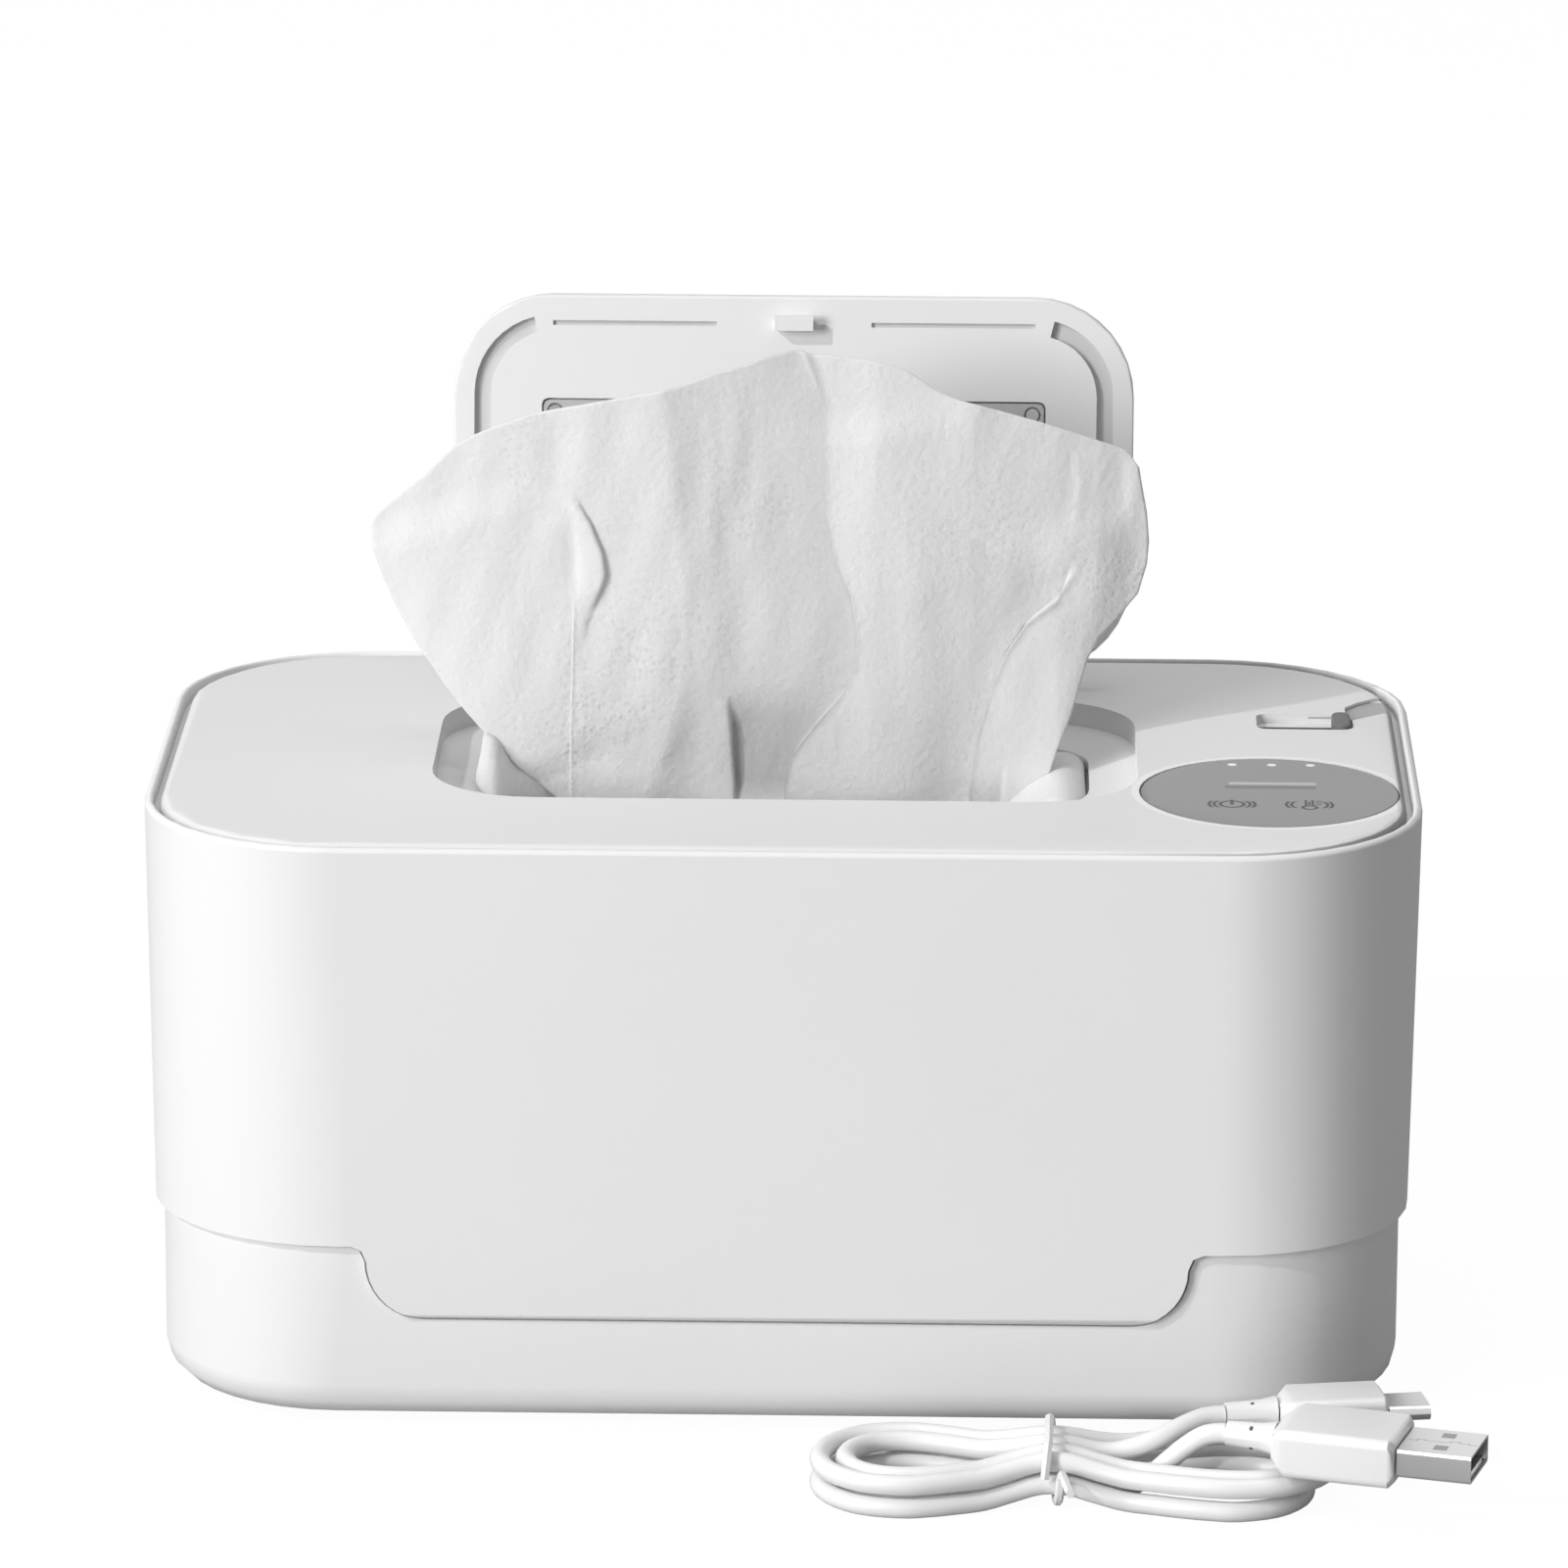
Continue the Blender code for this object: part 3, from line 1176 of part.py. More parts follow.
def underside_line(side):
    """The fine groove along the lid's free edge, one half of it."""
    near = side * LINE_GAP_HALF
    far = side * (LID_HALF_WIDTH - LID_RADIUS)
    y = LID_FRONT - PIN_Y + LINE_INSET
    outline = box_outline(min(near, far), max(near, far), y - LINE_WIDTH / 2, y + LINE_WIDTH / 2)
    return prism(
        f"line_groove_{side}", outline, LID_UNDER - CUT_OVERRUN, LID_UNDER + LINE_DEPTH,
        collection=CUTTERS,
    )


def underside_band(side):
    """The wide groove round one front corner of the lid's underside and down its side."""
    centre_x = LID_HALF_WIDTH - LID_RADIUS
    centre_y = LID_FRONT - PIN_Y + LID_RADIUS
    rear = centre_y + (LID_REAR - LID_FRONT - LID_RADIUS) * BAND_REAR_SHARE
    outer = LID_RADIUS - BAND_OUTER_INSET
    inner = outer - BAND_WIDTH

    def arc(radius):
        span = 90.0 - BAND_END_ANGLE_DEG
        angles = [
            math.radians(BAND_END_ANGLE_DEG - 90 + span * i / CORNER_STEPS)
            for i in range(CORNER_STEPS + 1)
        ]
        return [(centre_x + radius * math.cos(a), centre_y + radius * math.sin(a)) for a in angles]

    outline = arc(outer) + [(centre_x + outer, rear), (centre_x + inner, rear)] + arc(inner)[::-1]
    if side < 0:
        outline = [(-x, y) for x, y in reversed(outline)]
    return prism(
        f"band_groove_{side}", outline, LID_UNDER - CUT_OVERRUN, LID_UNDER + BAND_DEPTH,
        collection=CUTTERS,
    )


def plate_outline(inset):
    """The inner plate's outline, measured from the pin."""
    front = LID_FRONT - PIN_Y + PLATE_FRONT
    return rounded_box_outline(
        inset - PLATE_HALF_WIDTH, PLATE_HALF_WIDTH - inset, front + inset, front + PLATE_LENGTH - inset,
        PLATE_CORNER, steps=2,
    )


def make_lid_plate(frame):
    """The inner plate in its pocket, with a shallow seat for each screw head."""
    low = LID_UNDER + PLATE_POCKET - FIT_GAP - PLATE_THICKNESS
    plate = prism("lid_inner_plate", plate_outline(PLATE_CLEARANCE), low, low + PLATE_THICKNESS, SILICONE)
    plate.parent = frame
    front = LID_FRONT - PIN_Y + PLATE_FRONT
    seat = LID_SCREW_HEIGHT
    for i, (side, y) in enumerate(lid_screw_places(front)):
        x = side * (PLATE_HALF_WIDTH - PLATE_SCREW_INSET)
        hole = cylinder(
            f"lid_screw_seat_{i}", LID_SCREW_RADIUS + FIT_GAP, seat + CUT_OVERRUN,
            (x, y, low + seat / 2 - CUT_OVERRUN / 2), steps=12,
            collection=CUTTERS,
        )
        hole.parent = frame
        boolean(plate, cutter(hole))
        head_high = low + seat - FIT_GAP
        head = cylinder(
            f"lid_screw_{i + 1}", LID_SCREW_RADIUS, head_high - low, (x, y, (low + head_high) / 2),
            steps=12, finish=STEEL,
        )
        head.parent = frame


def lid_screw_places(front):
    """(side, y) of each lid screw."""
    rows = (front + PLATE_SCREW_INSET, front + PLATE_LENGTH - PLATE_SCREW_INSET)
    return [(side, y) for y in rows for side in (-1, 1)]


def make_hinge_pins():
    """Two steel pins through the deck's lugs and the lid's knuckles."""
    for name, side in (("left", -1), ("right", 1)):
        cylinder(
            f"hinge_pin_{name}", PIN_RADIUS, PIN_LENGTH, (side * ARM_X, PIN_Y, PIN_Z), "X", 16,
            finish=STEEL,
        )


def make_wipe_stack():
    """The folded wipes in the tray: a crowned block with soft edges."""
    low = BASE_FLOOR_TOP + FIT_GAP
    corner = rounded_box_outline(
        -STACK_HALF_WIDTH, STACK_HALF_WIDTH, -STACK_HALF_DEPTH, STACK_HALF_DEPTH, STACK_RADIUS, steps=3
    )

    def drawn_in(share):
        return [(x * share, y * share) for x, y in corner]

    slim = 1 - STACK_RADIUS / STACK_HALF_WIDTH / 2
    rings = [
        at_height(drawn_in(slim), low),
        at_height(corner, low + STACK_CROWN),
        at_height(corner, STACK_TOP - STACK_CROWN * 2),
        at_height(drawn_in(slim), STACK_TOP - STACK_CROWN),
        at_height(drawn_in(0.6), STACK_TOP - STACK_CROWN / 4),
        at_height(drawn_in(0.3), STACK_TOP),
    ]
    loft("wipe_stack", rings, CLOTH)


def wipe_point(across, up):
    """A point of the pulled wipe: across from -1 to 1, up from 0 at its foot to 1 at its top edge."""
    foot = STACK_TOP + WIPE_FOOT_GAP
    share = (across + 1) / 2
    side = read_table(WIPE_LEFT_SHARES, up) * (1 - share) + read_table(WIPE_RIGHT_SHARES, up) * share
    x = OPENING_HALF_WIDTH * side
    z = foot + (RIM_HEIGHT + WIPE_RISE * read_table(WIPE_TOP_SHARES, across) - foot) * up
    depth = CHUTE_FRONT * (WIPE_FOOT_FOLD_SHARE * (1 - up) + WIPE_FOLD_SHARE * up)
    broad = math.sin(math.pi * WIPE_FOLDS * across + 0.6)
    fine = 0.35 * math.sin(math.pi * WIPE_FOLDS * 1.7 * across + up)
    return Vector((x, depth * (broad + fine) + WIPE_LEAN * up, z))


def make_pulled_wipe():
    """The wipe that stands up through the opening, with its main folds."""
    shape = bmesh.new()
    grid = [
        [
            shape.verts.new(wipe_point(-1 + 2 * column / WIPE_COLUMNS, row / WIPE_ROWS))
            for column in range(WIPE_COLUMNS + 1)
        ]
        for row in range(WIPE_ROWS + 1)
    ]
    for lower, upper in zip(grid, grid[1:]):
        for i in range(WIPE_COLUMNS):
            shape.faces.new((lower[i], lower[i + 1], upper[i + 1], upper[i]))
    mesh = bpy.data.meshes.new("pulled_wipe")
    shape.to_mesh(mesh)
    shape.free()
    wipe = add_object("pulled_wipe", mesh, CLOTH)
    wall = wipe.modifiers.new("thickness", "SOLIDIFY")
    wall.thickness = WIPE_THICKNESS
    wall.offset = 0.0


def strand_side(waist, end, run):
    """How far a strand lies from the hank's middle line, run being 0 at the tie and 1 at a bend."""
    return waist + (end - waist) * smooth_share(run)


def strand_height(layer, along):
    """The middle of a strand in a layer, lifted at the tie, which passes under it."""
    lift = (2 * TIE_RADIUS + TIE_CLEARANCE) * (1 - smooth_share(abs(along) / HANK_LEFT_CENTRE * 2))
    return FLOOR_GAP + CORD_RADIUS + layer * LAYER_STEP + lift


def run_points(waist, left_end, right_end, layer, forwards):
    """A strand from the left bend to the right one, or back, without its two end points."""
    points = []
    count = 2 * RUN_POINTS
    for i in range(1, count):
        along = -HANK_LEFT_CENTRE + (HANK_LEFT_CENTRE + HANK_RIGHT_CENTRE) * i / count
        centre, end = (HANK_LEFT_CENTRE, left_end) if along < 0 else (HANK_RIGHT_CENTRE, right_end)
        side = strand_side(waist, end, abs(along) / centre)
        points.append(Vector((along, side, strand_height(layer, along))))
    return points if forwards else points[::-1]


def bend_points(right, start_radius, end_radius, start_layer, end_layer):
    """A half turn at one end of the hank."""
    points = []
    for i in range(BEND_POINTS + 1):
        share = i / BEND_POINTS
        radius = start_radius + (end_radius - start_radius) * share
        angle = math.radians(180 * share)
        layer = start_layer + (end_layer - start_layer) * smooth_share((share - 0.05) / 0.55)
        height = FLOOR_GAP + CORD_RADIUS + layer * LAYER_STEP
        if right:
            along = HANK_RIGHT_CENTRE + radius * math.sin(angle)
            points.append(Vector((along, radius * math.cos(angle), height)))
        else:
            along = -HANK_LEFT_CENTRE - radius * math.sin(angle)
            points.append(Vector((along, -radius * math.cos(angle), height)))
    return points


def free_end(waist, side, layer, plug_height, rise_start, inward):
    """From the tie to a plug that rests on the hank, without the point at the tie's middle.

    It keeps its layer until the share rise_start, drawn in by inward, and then climbs out.
    """
    points = []
    for i in range(1, END_POINTS + 1):
        share = i / END_POINTS
        along = PLUG_START * share
        climb = smooth_share((share - rise_start) / (PLUG_LEVEL_SHARE - rise_start))
        drawn = waist * (1 - inward * smooth_share(share / rise_start))
        drift = drawn + (side - drawn) * smooth_share((share - PLUG_DRIFT_SHARE) / (1 - PLUG_DRIFT_SHARE))
        low = strand_height(layer, along)
        points.append(Vector((along, drift, low + (plug_height - low) * climb)))
    return points


def cable_route():
    """The cable's centre line from one plug to the other, about the hank's own middle."""
    inner = HANK_INNER_RADIUS
    outer = inner + STRAND_STEP
    wide = outer + STRAND_STEP
    near = STRAND_STEP / 2
    far = near + STRAND_STEP
    lower_end = free_end(
        -near, USB_A_SIDE, 0, plug_middle(USB_A_HEIGHT), LOWER_END_RISE_SHARE, LOWER_END_INWARD_SHARE
    )
    points = lower_end[::-1]
    points.append(Vector((0, -near, strand_height(0, 0.0))))
    points += [p for p in run_points(-near, -inner, -inner, 0, False) if p.x < -CORD_RADIUS]
    points += bend_points(False, inner, inner, 0, 0)
    points += run_points(near, inner, inner, 0, True)
    points += bend_points(True, inner, outer, 0, 0)
    points += run_points(-far, -outer, -outer, 0, False)
    points += bend_points(False, outer, outer, 0, 0)
    points += run_points(far, outer, wide, 0, True)
    points += bend_points(True, wide, outer, 0, 1)
    points += run_points(-far, -outer, -outer, 1, False)
    points += bend_points(False, outer, outer, 1, 1)
    points += run_points(far, outer, outer, 1, True)
    points += bend_points(True, outer, inner, 1, 1)
    points += run_points(-near, -inner, -inner, 1, False)
    points += bend_points(False, inner, inner, 1, 1)
    points += [p for p in run_points(near, inner, inner, 1, True) if p.x < -CORD_RADIUS]
    points.append(Vector((0, near, strand_height(1, 0.0))))
    points += free_end(near, USB_C_SIDE, 1, plug_middle(USB_C_HEIGHT), UPPER_END_RISE_SHARE, 0.0)
    return points


def plug_middle(height):
    """The middle height of a plug that lies on the hank's upper layer."""
    strands = FLOOR_GAP + 2 * CORD_RADIUS + LAYER_STEP
    return strands + TIE_CLEARANCE + height / 2


def hank_to_world(point):
    return Vector((HANK_X + point[0], HANK_Y + point[1], point[2]))


def least_gap(points):
    """The least distance between far-apart stretches of a line, less the cord's diameter."""
    fine = []
    for first, last in zip(points, points[1:]):
        steps = max(1, round((last - first).length / CORD_RADIUS))
        fine += [first.lerp(last, i / steps) for i in range(steps)]
    least = math.inf
    apart = 8
    for i, first in enumerate(fine):
        for last in fine[i + apart:]:
            least = min(least, (first - last).length)
    return least - 2 * CORD_RADIUS


def make_cable():
    """The cable, its tie and both plugs."""
    route = cable_route()
    length = sum((b - a).length for a, b in zip(route, route[1:]))
    print(f"cable length {length:.4f} m, least gap to itself {least_gap(route) * 1000:.2f} mm")
    tube("usb_cable", [hank_to_world(p) for p in route], CORD_RADIUS, CABLE_WHITE)
    make_tie()
    make_plug(
        "usb_a", USB_A_SIDE, USB_A_TURN_DEG, USB_A_WIDTH, USB_A_HEIGHT, USB_A_LENGTH, USB_A_ROUND,
        USB_A_METAL_WIDTH, USB_A_METAL_HEIGHT, USB_A_METAL_LENGTH, USB_A_METAL_WALL, USB_A_METAL_WALL * 1.5,
    )
    make_plug(
        "usb_c", USB_C_SIDE, USB_C_TURN_DEG, USB_C_WIDTH, USB_C_HEIGHT, USB_C_LENGTH, USB_C_ROUND,
        USB_C_METAL_WIDTH, USB_C_METAL_HEIGHT, USB_C_METAL_LENGTH, USB_C_METAL_WALL,
        USB_C_METAL_HEIGHT * 0.45,
    )


def make_tie():
    """A rubber tie once round the strands, its start beside its end, and its tail to the front."""
    side = 1.5 * STRAND_STEP + CORD_RADIUS + TIE_CLEARANCE + TIE_RADIUS
    low = strand_height(0, 0.0) - CORD_RADIUS - TIE_CLEARANCE - TIE_RADIUS
    high = strand_height(1, 0.0) + CORD_RADIUS + TIE_CLEARANCE + TIE_RADIUS
    middle = (low + high) / 2
    loop = rounded_box_outline(-side, side, low, high, TIE_CORNER, steps=3)
    quarter = len(loop) // 4
    over = loop[quarter:2 * quarter] + loop[2 * quarter:3 * quarter]
    under = loop[3 * quarter:] + loop[:quarter]
    top_left = [(t, z) for t, z in over][::-1]
    bottom = [(-t, z) for t, z in under]
    turn = [(-side, middle)] + top_left + bottom + [(-side, middle)]
    points = [
        Vector((TIE_PITCH * (i / (len(turn) - 1) - 0.5), t, z))
        for i, (t, z) in enumerate(turn)
    ]
    last = points[-1]
    tail = Vector((TIE_PITCH / 2, -TIE_TAIL, TIE_RADIUS))
    points += [last + tail * share + Vector((0, 0, TIE_CORNER / 3)) for share in (0.1, 0.5, 1.0)]
    tube("cable_tie", [hank_to_world(p) for p in points], TIE_RADIUS, SILICONE)


def make_plug(
    name, side, turn_deg, width, height, length, edge, metal_width, metal_height, metal_length,
    metal_wall, tongue,
):
    """A plug lying on the hank: strain relief, overmould and metal end, along its own X."""
    place = Matrix.Translation(hank_to_world((PLUG_START, side, plug_middle(height))))
    place = place @ Matrix.Rotation(math.radians(turn_deg), 4, "Z")

    def section(along, half_width, half_height, radius, steps=3):
        outline = rounded_box_outline(
            -half_width, half_width, -half_height, half_height, radius, steps=steps,
        )
        return [Vector((along, y, z)) for y, z in outline]

    def placed(rings, part, finish, ring_shaped=False):
        made = loft(f"{name}_{part}", rings, finish, ring_shaped)
        made.matrix_world = place
        return made

    slim = CORD_RADIUS * 1.25
    relief = [
        section(FIT_GAP, slim, slim, slim * 0.99),
        section(
            FIT_GAP + RELIEF_LENGTH * 0.7, RELIEF_RADIUS * 0.86, RELIEF_RADIUS * 0.86,
            RELIEF_RADIUS * 0.8,
        ),
        section(FIT_GAP + RELIEF_LENGTH, RELIEF_RADIUS, RELIEF_RADIUS, RELIEF_RADIUS * 0.8),
    ]
    placed(relief, "relief", CABLE_WHITE)
    start = 2 * FIT_GAP + RELIEF_LENGTH
    half_width, half_height = width / 2, height / 2
    shoulder = edge * 1.6
    body = [
        section(start, half_width - shoulder, half_height - edge, edge),
        section(start + shoulder, half_width, half_height, edge),
        section(start + length - edge / 2, half_width, half_height, edge),
        section(start + length, half_width - edge / 2, half_height - edge / 2, edge),
    ]
    placed(body, "overmould", CABLE_WHITE)
    root = start + length + METAL_ROOT
    tip = root + metal_length
    corner = metal_height * (0.49 if name == "usb_c" else 0.12)
    inner_corner = max(corner - metal_wall, metal_wall / 2)
    out_w, out_h = metal_width / 2, metal_height / 2
    metal = [
        section(root, out_w, out_h, corner),
        section(tip, out_w, out_h, corner),
        section(tip, out_w - metal_wall, out_h - metal_wall, inner_corner),
        section(root + metal_wall * 2, out_w - metal_wall, out_h - metal_wall, inner_corner),
    ]
    plug = placed(metal, "metal", STEEL)
    tongue_wide = out_w - metal_wall * 2
    inner_low = -out_h + metal_wall / 2
    tongue_high = inner_low + tongue
    core = [
        [Vector((x, y, z)) for y, z in box_outline(-tongue_wide, tongue_wide, inner_low, tongue_high)]
        for x in (root + metal_wall, tip - metal_wall * 2)
    ]
    if name == "usb_a":
        inside = loft(name + "_tongue", core, None, collection=CUTTERS)
        inside.matrix_world = place
        boolean(plug, cutter(inside), "UNION")


def main():
    """Makes every piece."""
    make_base_tray()
    make_feet()
    make_wipe_stack()
    make_outer_shell()
    make_top_deck()
    make_display()
    make_board()
    make_usb_socket()
    make_slide_switch()
    make_slider()
    make_liner()
    make_seal()
    make_heater()
    make_screws()
    make_hinge_pins()
    frame = lid_empty()
    make_lid_shell(frame)
    make_lid_plate(frame)
    make_pulled_wipe()
    make_cable()


main()
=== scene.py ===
"""Baby wipe warmer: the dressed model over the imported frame, lit and framed as in the photograph."""

import math

import bmesh
import bpy
import numpy as np
from mathutils import Matrix, Vector


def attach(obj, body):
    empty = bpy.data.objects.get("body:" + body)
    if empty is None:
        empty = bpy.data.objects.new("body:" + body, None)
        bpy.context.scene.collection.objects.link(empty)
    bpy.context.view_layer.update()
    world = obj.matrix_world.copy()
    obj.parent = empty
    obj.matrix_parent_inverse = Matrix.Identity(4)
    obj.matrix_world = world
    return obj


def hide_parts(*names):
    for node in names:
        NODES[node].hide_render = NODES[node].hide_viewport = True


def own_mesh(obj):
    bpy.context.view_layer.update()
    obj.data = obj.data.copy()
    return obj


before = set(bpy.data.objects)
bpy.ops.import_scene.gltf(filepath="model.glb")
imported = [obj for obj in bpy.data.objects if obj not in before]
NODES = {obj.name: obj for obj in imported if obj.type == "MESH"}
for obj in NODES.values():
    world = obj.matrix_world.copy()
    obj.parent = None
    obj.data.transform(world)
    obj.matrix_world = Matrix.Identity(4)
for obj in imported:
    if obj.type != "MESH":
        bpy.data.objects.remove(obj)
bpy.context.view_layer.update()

# Sizes and places that the CAD source also uses, in metres, with its numbers of points and its shares
MILLIMETRE = 0.001
STACK_TOP = 0.0620
HANK_X = 0.0440
HANK_Y = -0.0860
CORD_RADIUS = 0.0016
FLOOR_GAP = 0.0001
STRAND_STEP = 0.0041
LAYER_STEP = 0.00375
HANK_LEFT_CENTRE = 0.0240
HANK_RIGHT_CENTRE = 0.0290
HANK_INNER_RADIUS = 0.0086
TIE_RADIUS = 0.00075
TIE_CLEARANCE = 0.0005
RUN_POINTS = 6
BEND_POINTS = 6
END_POINTS = 9
PLUG_START = 0.0270
PLUG_LEVEL_SHARE = 0.96
PLUG_DRIFT_SHARE = 0.55
LOWER_END_RISE_SHARE = 0.42
LOWER_END_INWARD_SHARE = 0.40
UPPER_END_RISE_SHARE = 0.20
USB_A_SIDE = -0.0036
USB_A_HEIGHT = 0.0080
USB_C_SIDE = 0.0072
USB_C_HEIGHT = 0.0064


# Camera

CAMERA_PLACE = (0.0292, -1.4884, 0.4989)
CAMERA_PITCH = math.radians(15.3)
CAMERA_YAW = math.radians(-1.14)
CAMERA_ROLL = math.radians(0.26)
CAMERA_LENS = 216.56
SENSOR_WIDTH = 36
CLIP_START = 0.1
CLIP_END = 20


def make_camera():
    """The camera of the photograph."""
    run = math.cos(CAMERA_PITCH)
    ahead = Vector((math.sin(CAMERA_YAW) * run, math.cos(CAMERA_YAW) * run, -math.sin(CAMERA_PITCH)))
    level = Vector((math.cos(CAMERA_YAW), -math.sin(CAMERA_YAW), 0))
    upright = level.cross(ahead)
    right = level * math.cos(CAMERA_ROLL) + upright * math.sin(CAMERA_ROLL)
    up = upright * math.cos(CAMERA_ROLL) - level * math.sin(CAMERA_ROLL)
    camera = bpy.data.cameras.new("camera")
    camera.sensor_width = SENSOR_WIDTH
    camera.sensor_fit = "HORIZONTAL"
    camera.lens = CAMERA_LENS
    camera.clip_start = CLIP_START
    camera.clip_end = CLIP_END
    placed = bpy.data.objects.new("camera", camera)
    turn = Matrix((right, up, -ahead)).transposed().to_4x4()
    placed.matrix_world = Matrix.Translation(CAMERA_PLACE) @ turn
    bpy.context.scene.collection.objects.link(placed)
    bpy.context.scene.camera = placed


make_camera()


# Shared shapes and pieces

def eased(share):
    """Eases a share, or an array of them, from 0 to 1."""
    share = np.clip(share, 0, 1)
    return share * share * (3 - 2 * share)


def between(before, start, end, after, t):
    """A point on the smooth curve from start to end, which also depends on the points before and after."""
    return 0.5 * (
        2 * start + (end - before) * t + (2 * before - 5 * start + 4 * end - after) * t ** 2
        + (3 * start - before - 3 * end + after) * t ** 3
    )


def smooth_line(points, steps):
    """A finer line that passes smoothly through the points, or a finer grid through its rows."""
    fine = []
    last = len(points) - 1
    for i in range(last):
        around = points[max(0, i - 1)], points[i], points[i + 1], points[min(last, i + 2)]
        fine += [between(*around, step / steps) for step in range(steps)]
    return fine + [points[last]]


def add_piece(name, data, material, body):
    """A piece of the dressed model that rides on a body."""
    piece = bpy.data.objects.new(name, data)
    bpy.context.scene.collection.objects.link(piece)
    data.materials.append(material)
    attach(piece, body)
    return piece


# Materials

# How soft a mask's edge is, and the size and the depth of the finest grain, in metres
MASK_EDGE = 0.00006
FINE_GRAIN = 0.0006
FINE_DEPTH = 0.00001
GRAIN_DETAIL = 3.0
# The slow changes over a surface: their scale, and how far gloss and tone vary
CLOUD_SCALE = 28.0
CLOUD_DETAIL = 4.0
GLOSS_SPREAD = 0.05
TONE_SPREAD = 0.015


def add_node(tree, kind, inputs=(), **settings):
    """A node of a tree, with sockets linked to its inputs or values put into them."""
    node = tree.nodes.new(kind)
    for name, value in settings.items():
        setattr(node, name, value)
    for slot, value in dict(inputs).items():
        if isinstance(value, bpy.types.NodeSocket):
            tree.links.new(value, node.inputs[slot])
        else:
            node.inputs[slot].default_value = value
    return node


def new_material(name):
    made = bpy.data.materials.new(name)
    made.use_nodes = True
    return made, made.node_tree, made.node_tree.nodes["Principled BSDF"]


def shader_group(name, inputs, outputs):
    """An empty shader group with its sockets, its inward and its outward node."""
    group = bpy.data.node_groups.new(name, "ShaderNodeTree")
    for in_out, sockets in (("INPUT", inputs), ("OUTPUT", outputs)):
        for socket, kind in sockets:
            group.interface.new_socket(socket, in_out=in_out, socket_type="NodeSocket" + kind)
    return group, group.nodes.new("NodeGroupInput").outputs, group.nodes.new("NodeGroupOutput").inputs


def object_place(tree):
    return add_node(tree, "ShaderNodeTexCoord").outputs["Object"]


def surface_group():
    """A shared effect: fine bump, slightly uneven roughness and slightly uneven colour."""
    group, inward, outward = shader_group(
        "fine_surface",
        (("Grain size", "Float"), ("Grain depth", "Float"), ("Roughness", "Float"), ("Colour", "Color")),
        (("Colour", "Color"), ("Roughness", "Float"), ("Normal", "Vector")),
    )
    place = object_place(group)
    fineness = add_node(group, "ShaderNodeMath", {0: 1.0, 1: inward["Grain size"]}, operation="DIVIDE")
    grain = add_node(
        group, "ShaderNodeTexNoise", {"Vector": place, "Scale": fineness.outputs[0], "Detail": GRAIN_DETAIL}
    )
    cloud = add_node(
        group, "ShaderNodeTexNoise", {"Vector": place, "Scale": CLOUD_SCALE, "Detail": CLOUD_DETAIL}
    )
    bump = add_node(
        group, "ShaderNodeBump", {"Distance": inward["Grain depth"], "Height": grain.outputs["Fac"]}
    )
    spread = add_node(
        group, "ShaderNodeMapRange",
        {"Value": cloud.outputs["Fac"], "To Min": -GLOSS_SPREAD, "To Max": GLOSS_SPREAD},
    )
    rough = add_node(
        group, "ShaderNodeMath", {0: spread.outputs["Result"], 1: inward["Roughness"]}, operation="ADD"
    )
    tone = add_node(
        group, "ShaderNodeMapRange",
        {"Value": cloud.outputs["Fac"], "To Min": 1 - TONE_SPREAD, "To Max": 1 + TONE_SPREAD},
    )
    tint = add_node(
        group, "ShaderNodeVectorMath", {0: inward["Colour"], "Scale": tone.outputs["Result"]},
        operation="SCALE",
    )
    group.links.new(tint.outputs[0], outward["Colour"])
    group.links.new(rough.outputs[0], outward["Roughness"])
    group.links.new(bump.outputs["Normal"], outward["Normal"])
    return group


def edge_of(group, distance):
    """1 where the distance is below zero and 0 where it is above, with a soft edge."""
    return add_node(
        group, "ShaderNodeMapRange",
        {"Value": distance, "From Min": -MASK_EDGE, "From Max": MASK_EDGE, "To Min": 1.0, "To Max": 0.0},
    ).outputs["Result"]


def box_group():
    """A shared mask: 1 inside an upright box, turned about its own middle."""
    group, inward, outward = shader_group(
        "box_mask", (("Centre", "Vector"), ("Half size", "Vector"), ("Turn", "Float")), (("Mask", "Float"),)
    )
    offset = add_node(
        group, "ShaderNodeVectorMath", {0: object_place(group), 1: inward["Centre"]}, operation="SUBTRACT"
    )
    squared = add_node(
        group, "ShaderNodeVectorRotate", {"Vector": offset.outputs[0], "Angle": inward["Turn"]},
        rotation_type="Z_AXIS", invert=True,
    )
    reach = add_node(group, "ShaderNodeVectorMath", {0: squared.outputs[0]}, operation="ABSOLUTE")
    over = add_node(
        group, "ShaderNodeVectorMath", {0: reach.outputs[0], 1: inward["Half size"]}, operation="SUBTRACT"
    )
    parts = add_node(group, "ShaderNodeSeparateXYZ", {0: over.outputs[0]})
    flat = add_node(group, "ShaderNodeMath", {0: parts.outputs[0], 1: parts.outputs[1]}, operation="MAXIMUM")
    most = add_node(group, "ShaderNodeMath", {0: flat.outputs[0], 1: parts.outputs[2]}, operation="MAXIMUM")
    group.links.new(edge_of(group, most.outputs[0]), outward["Mask"])
    return group


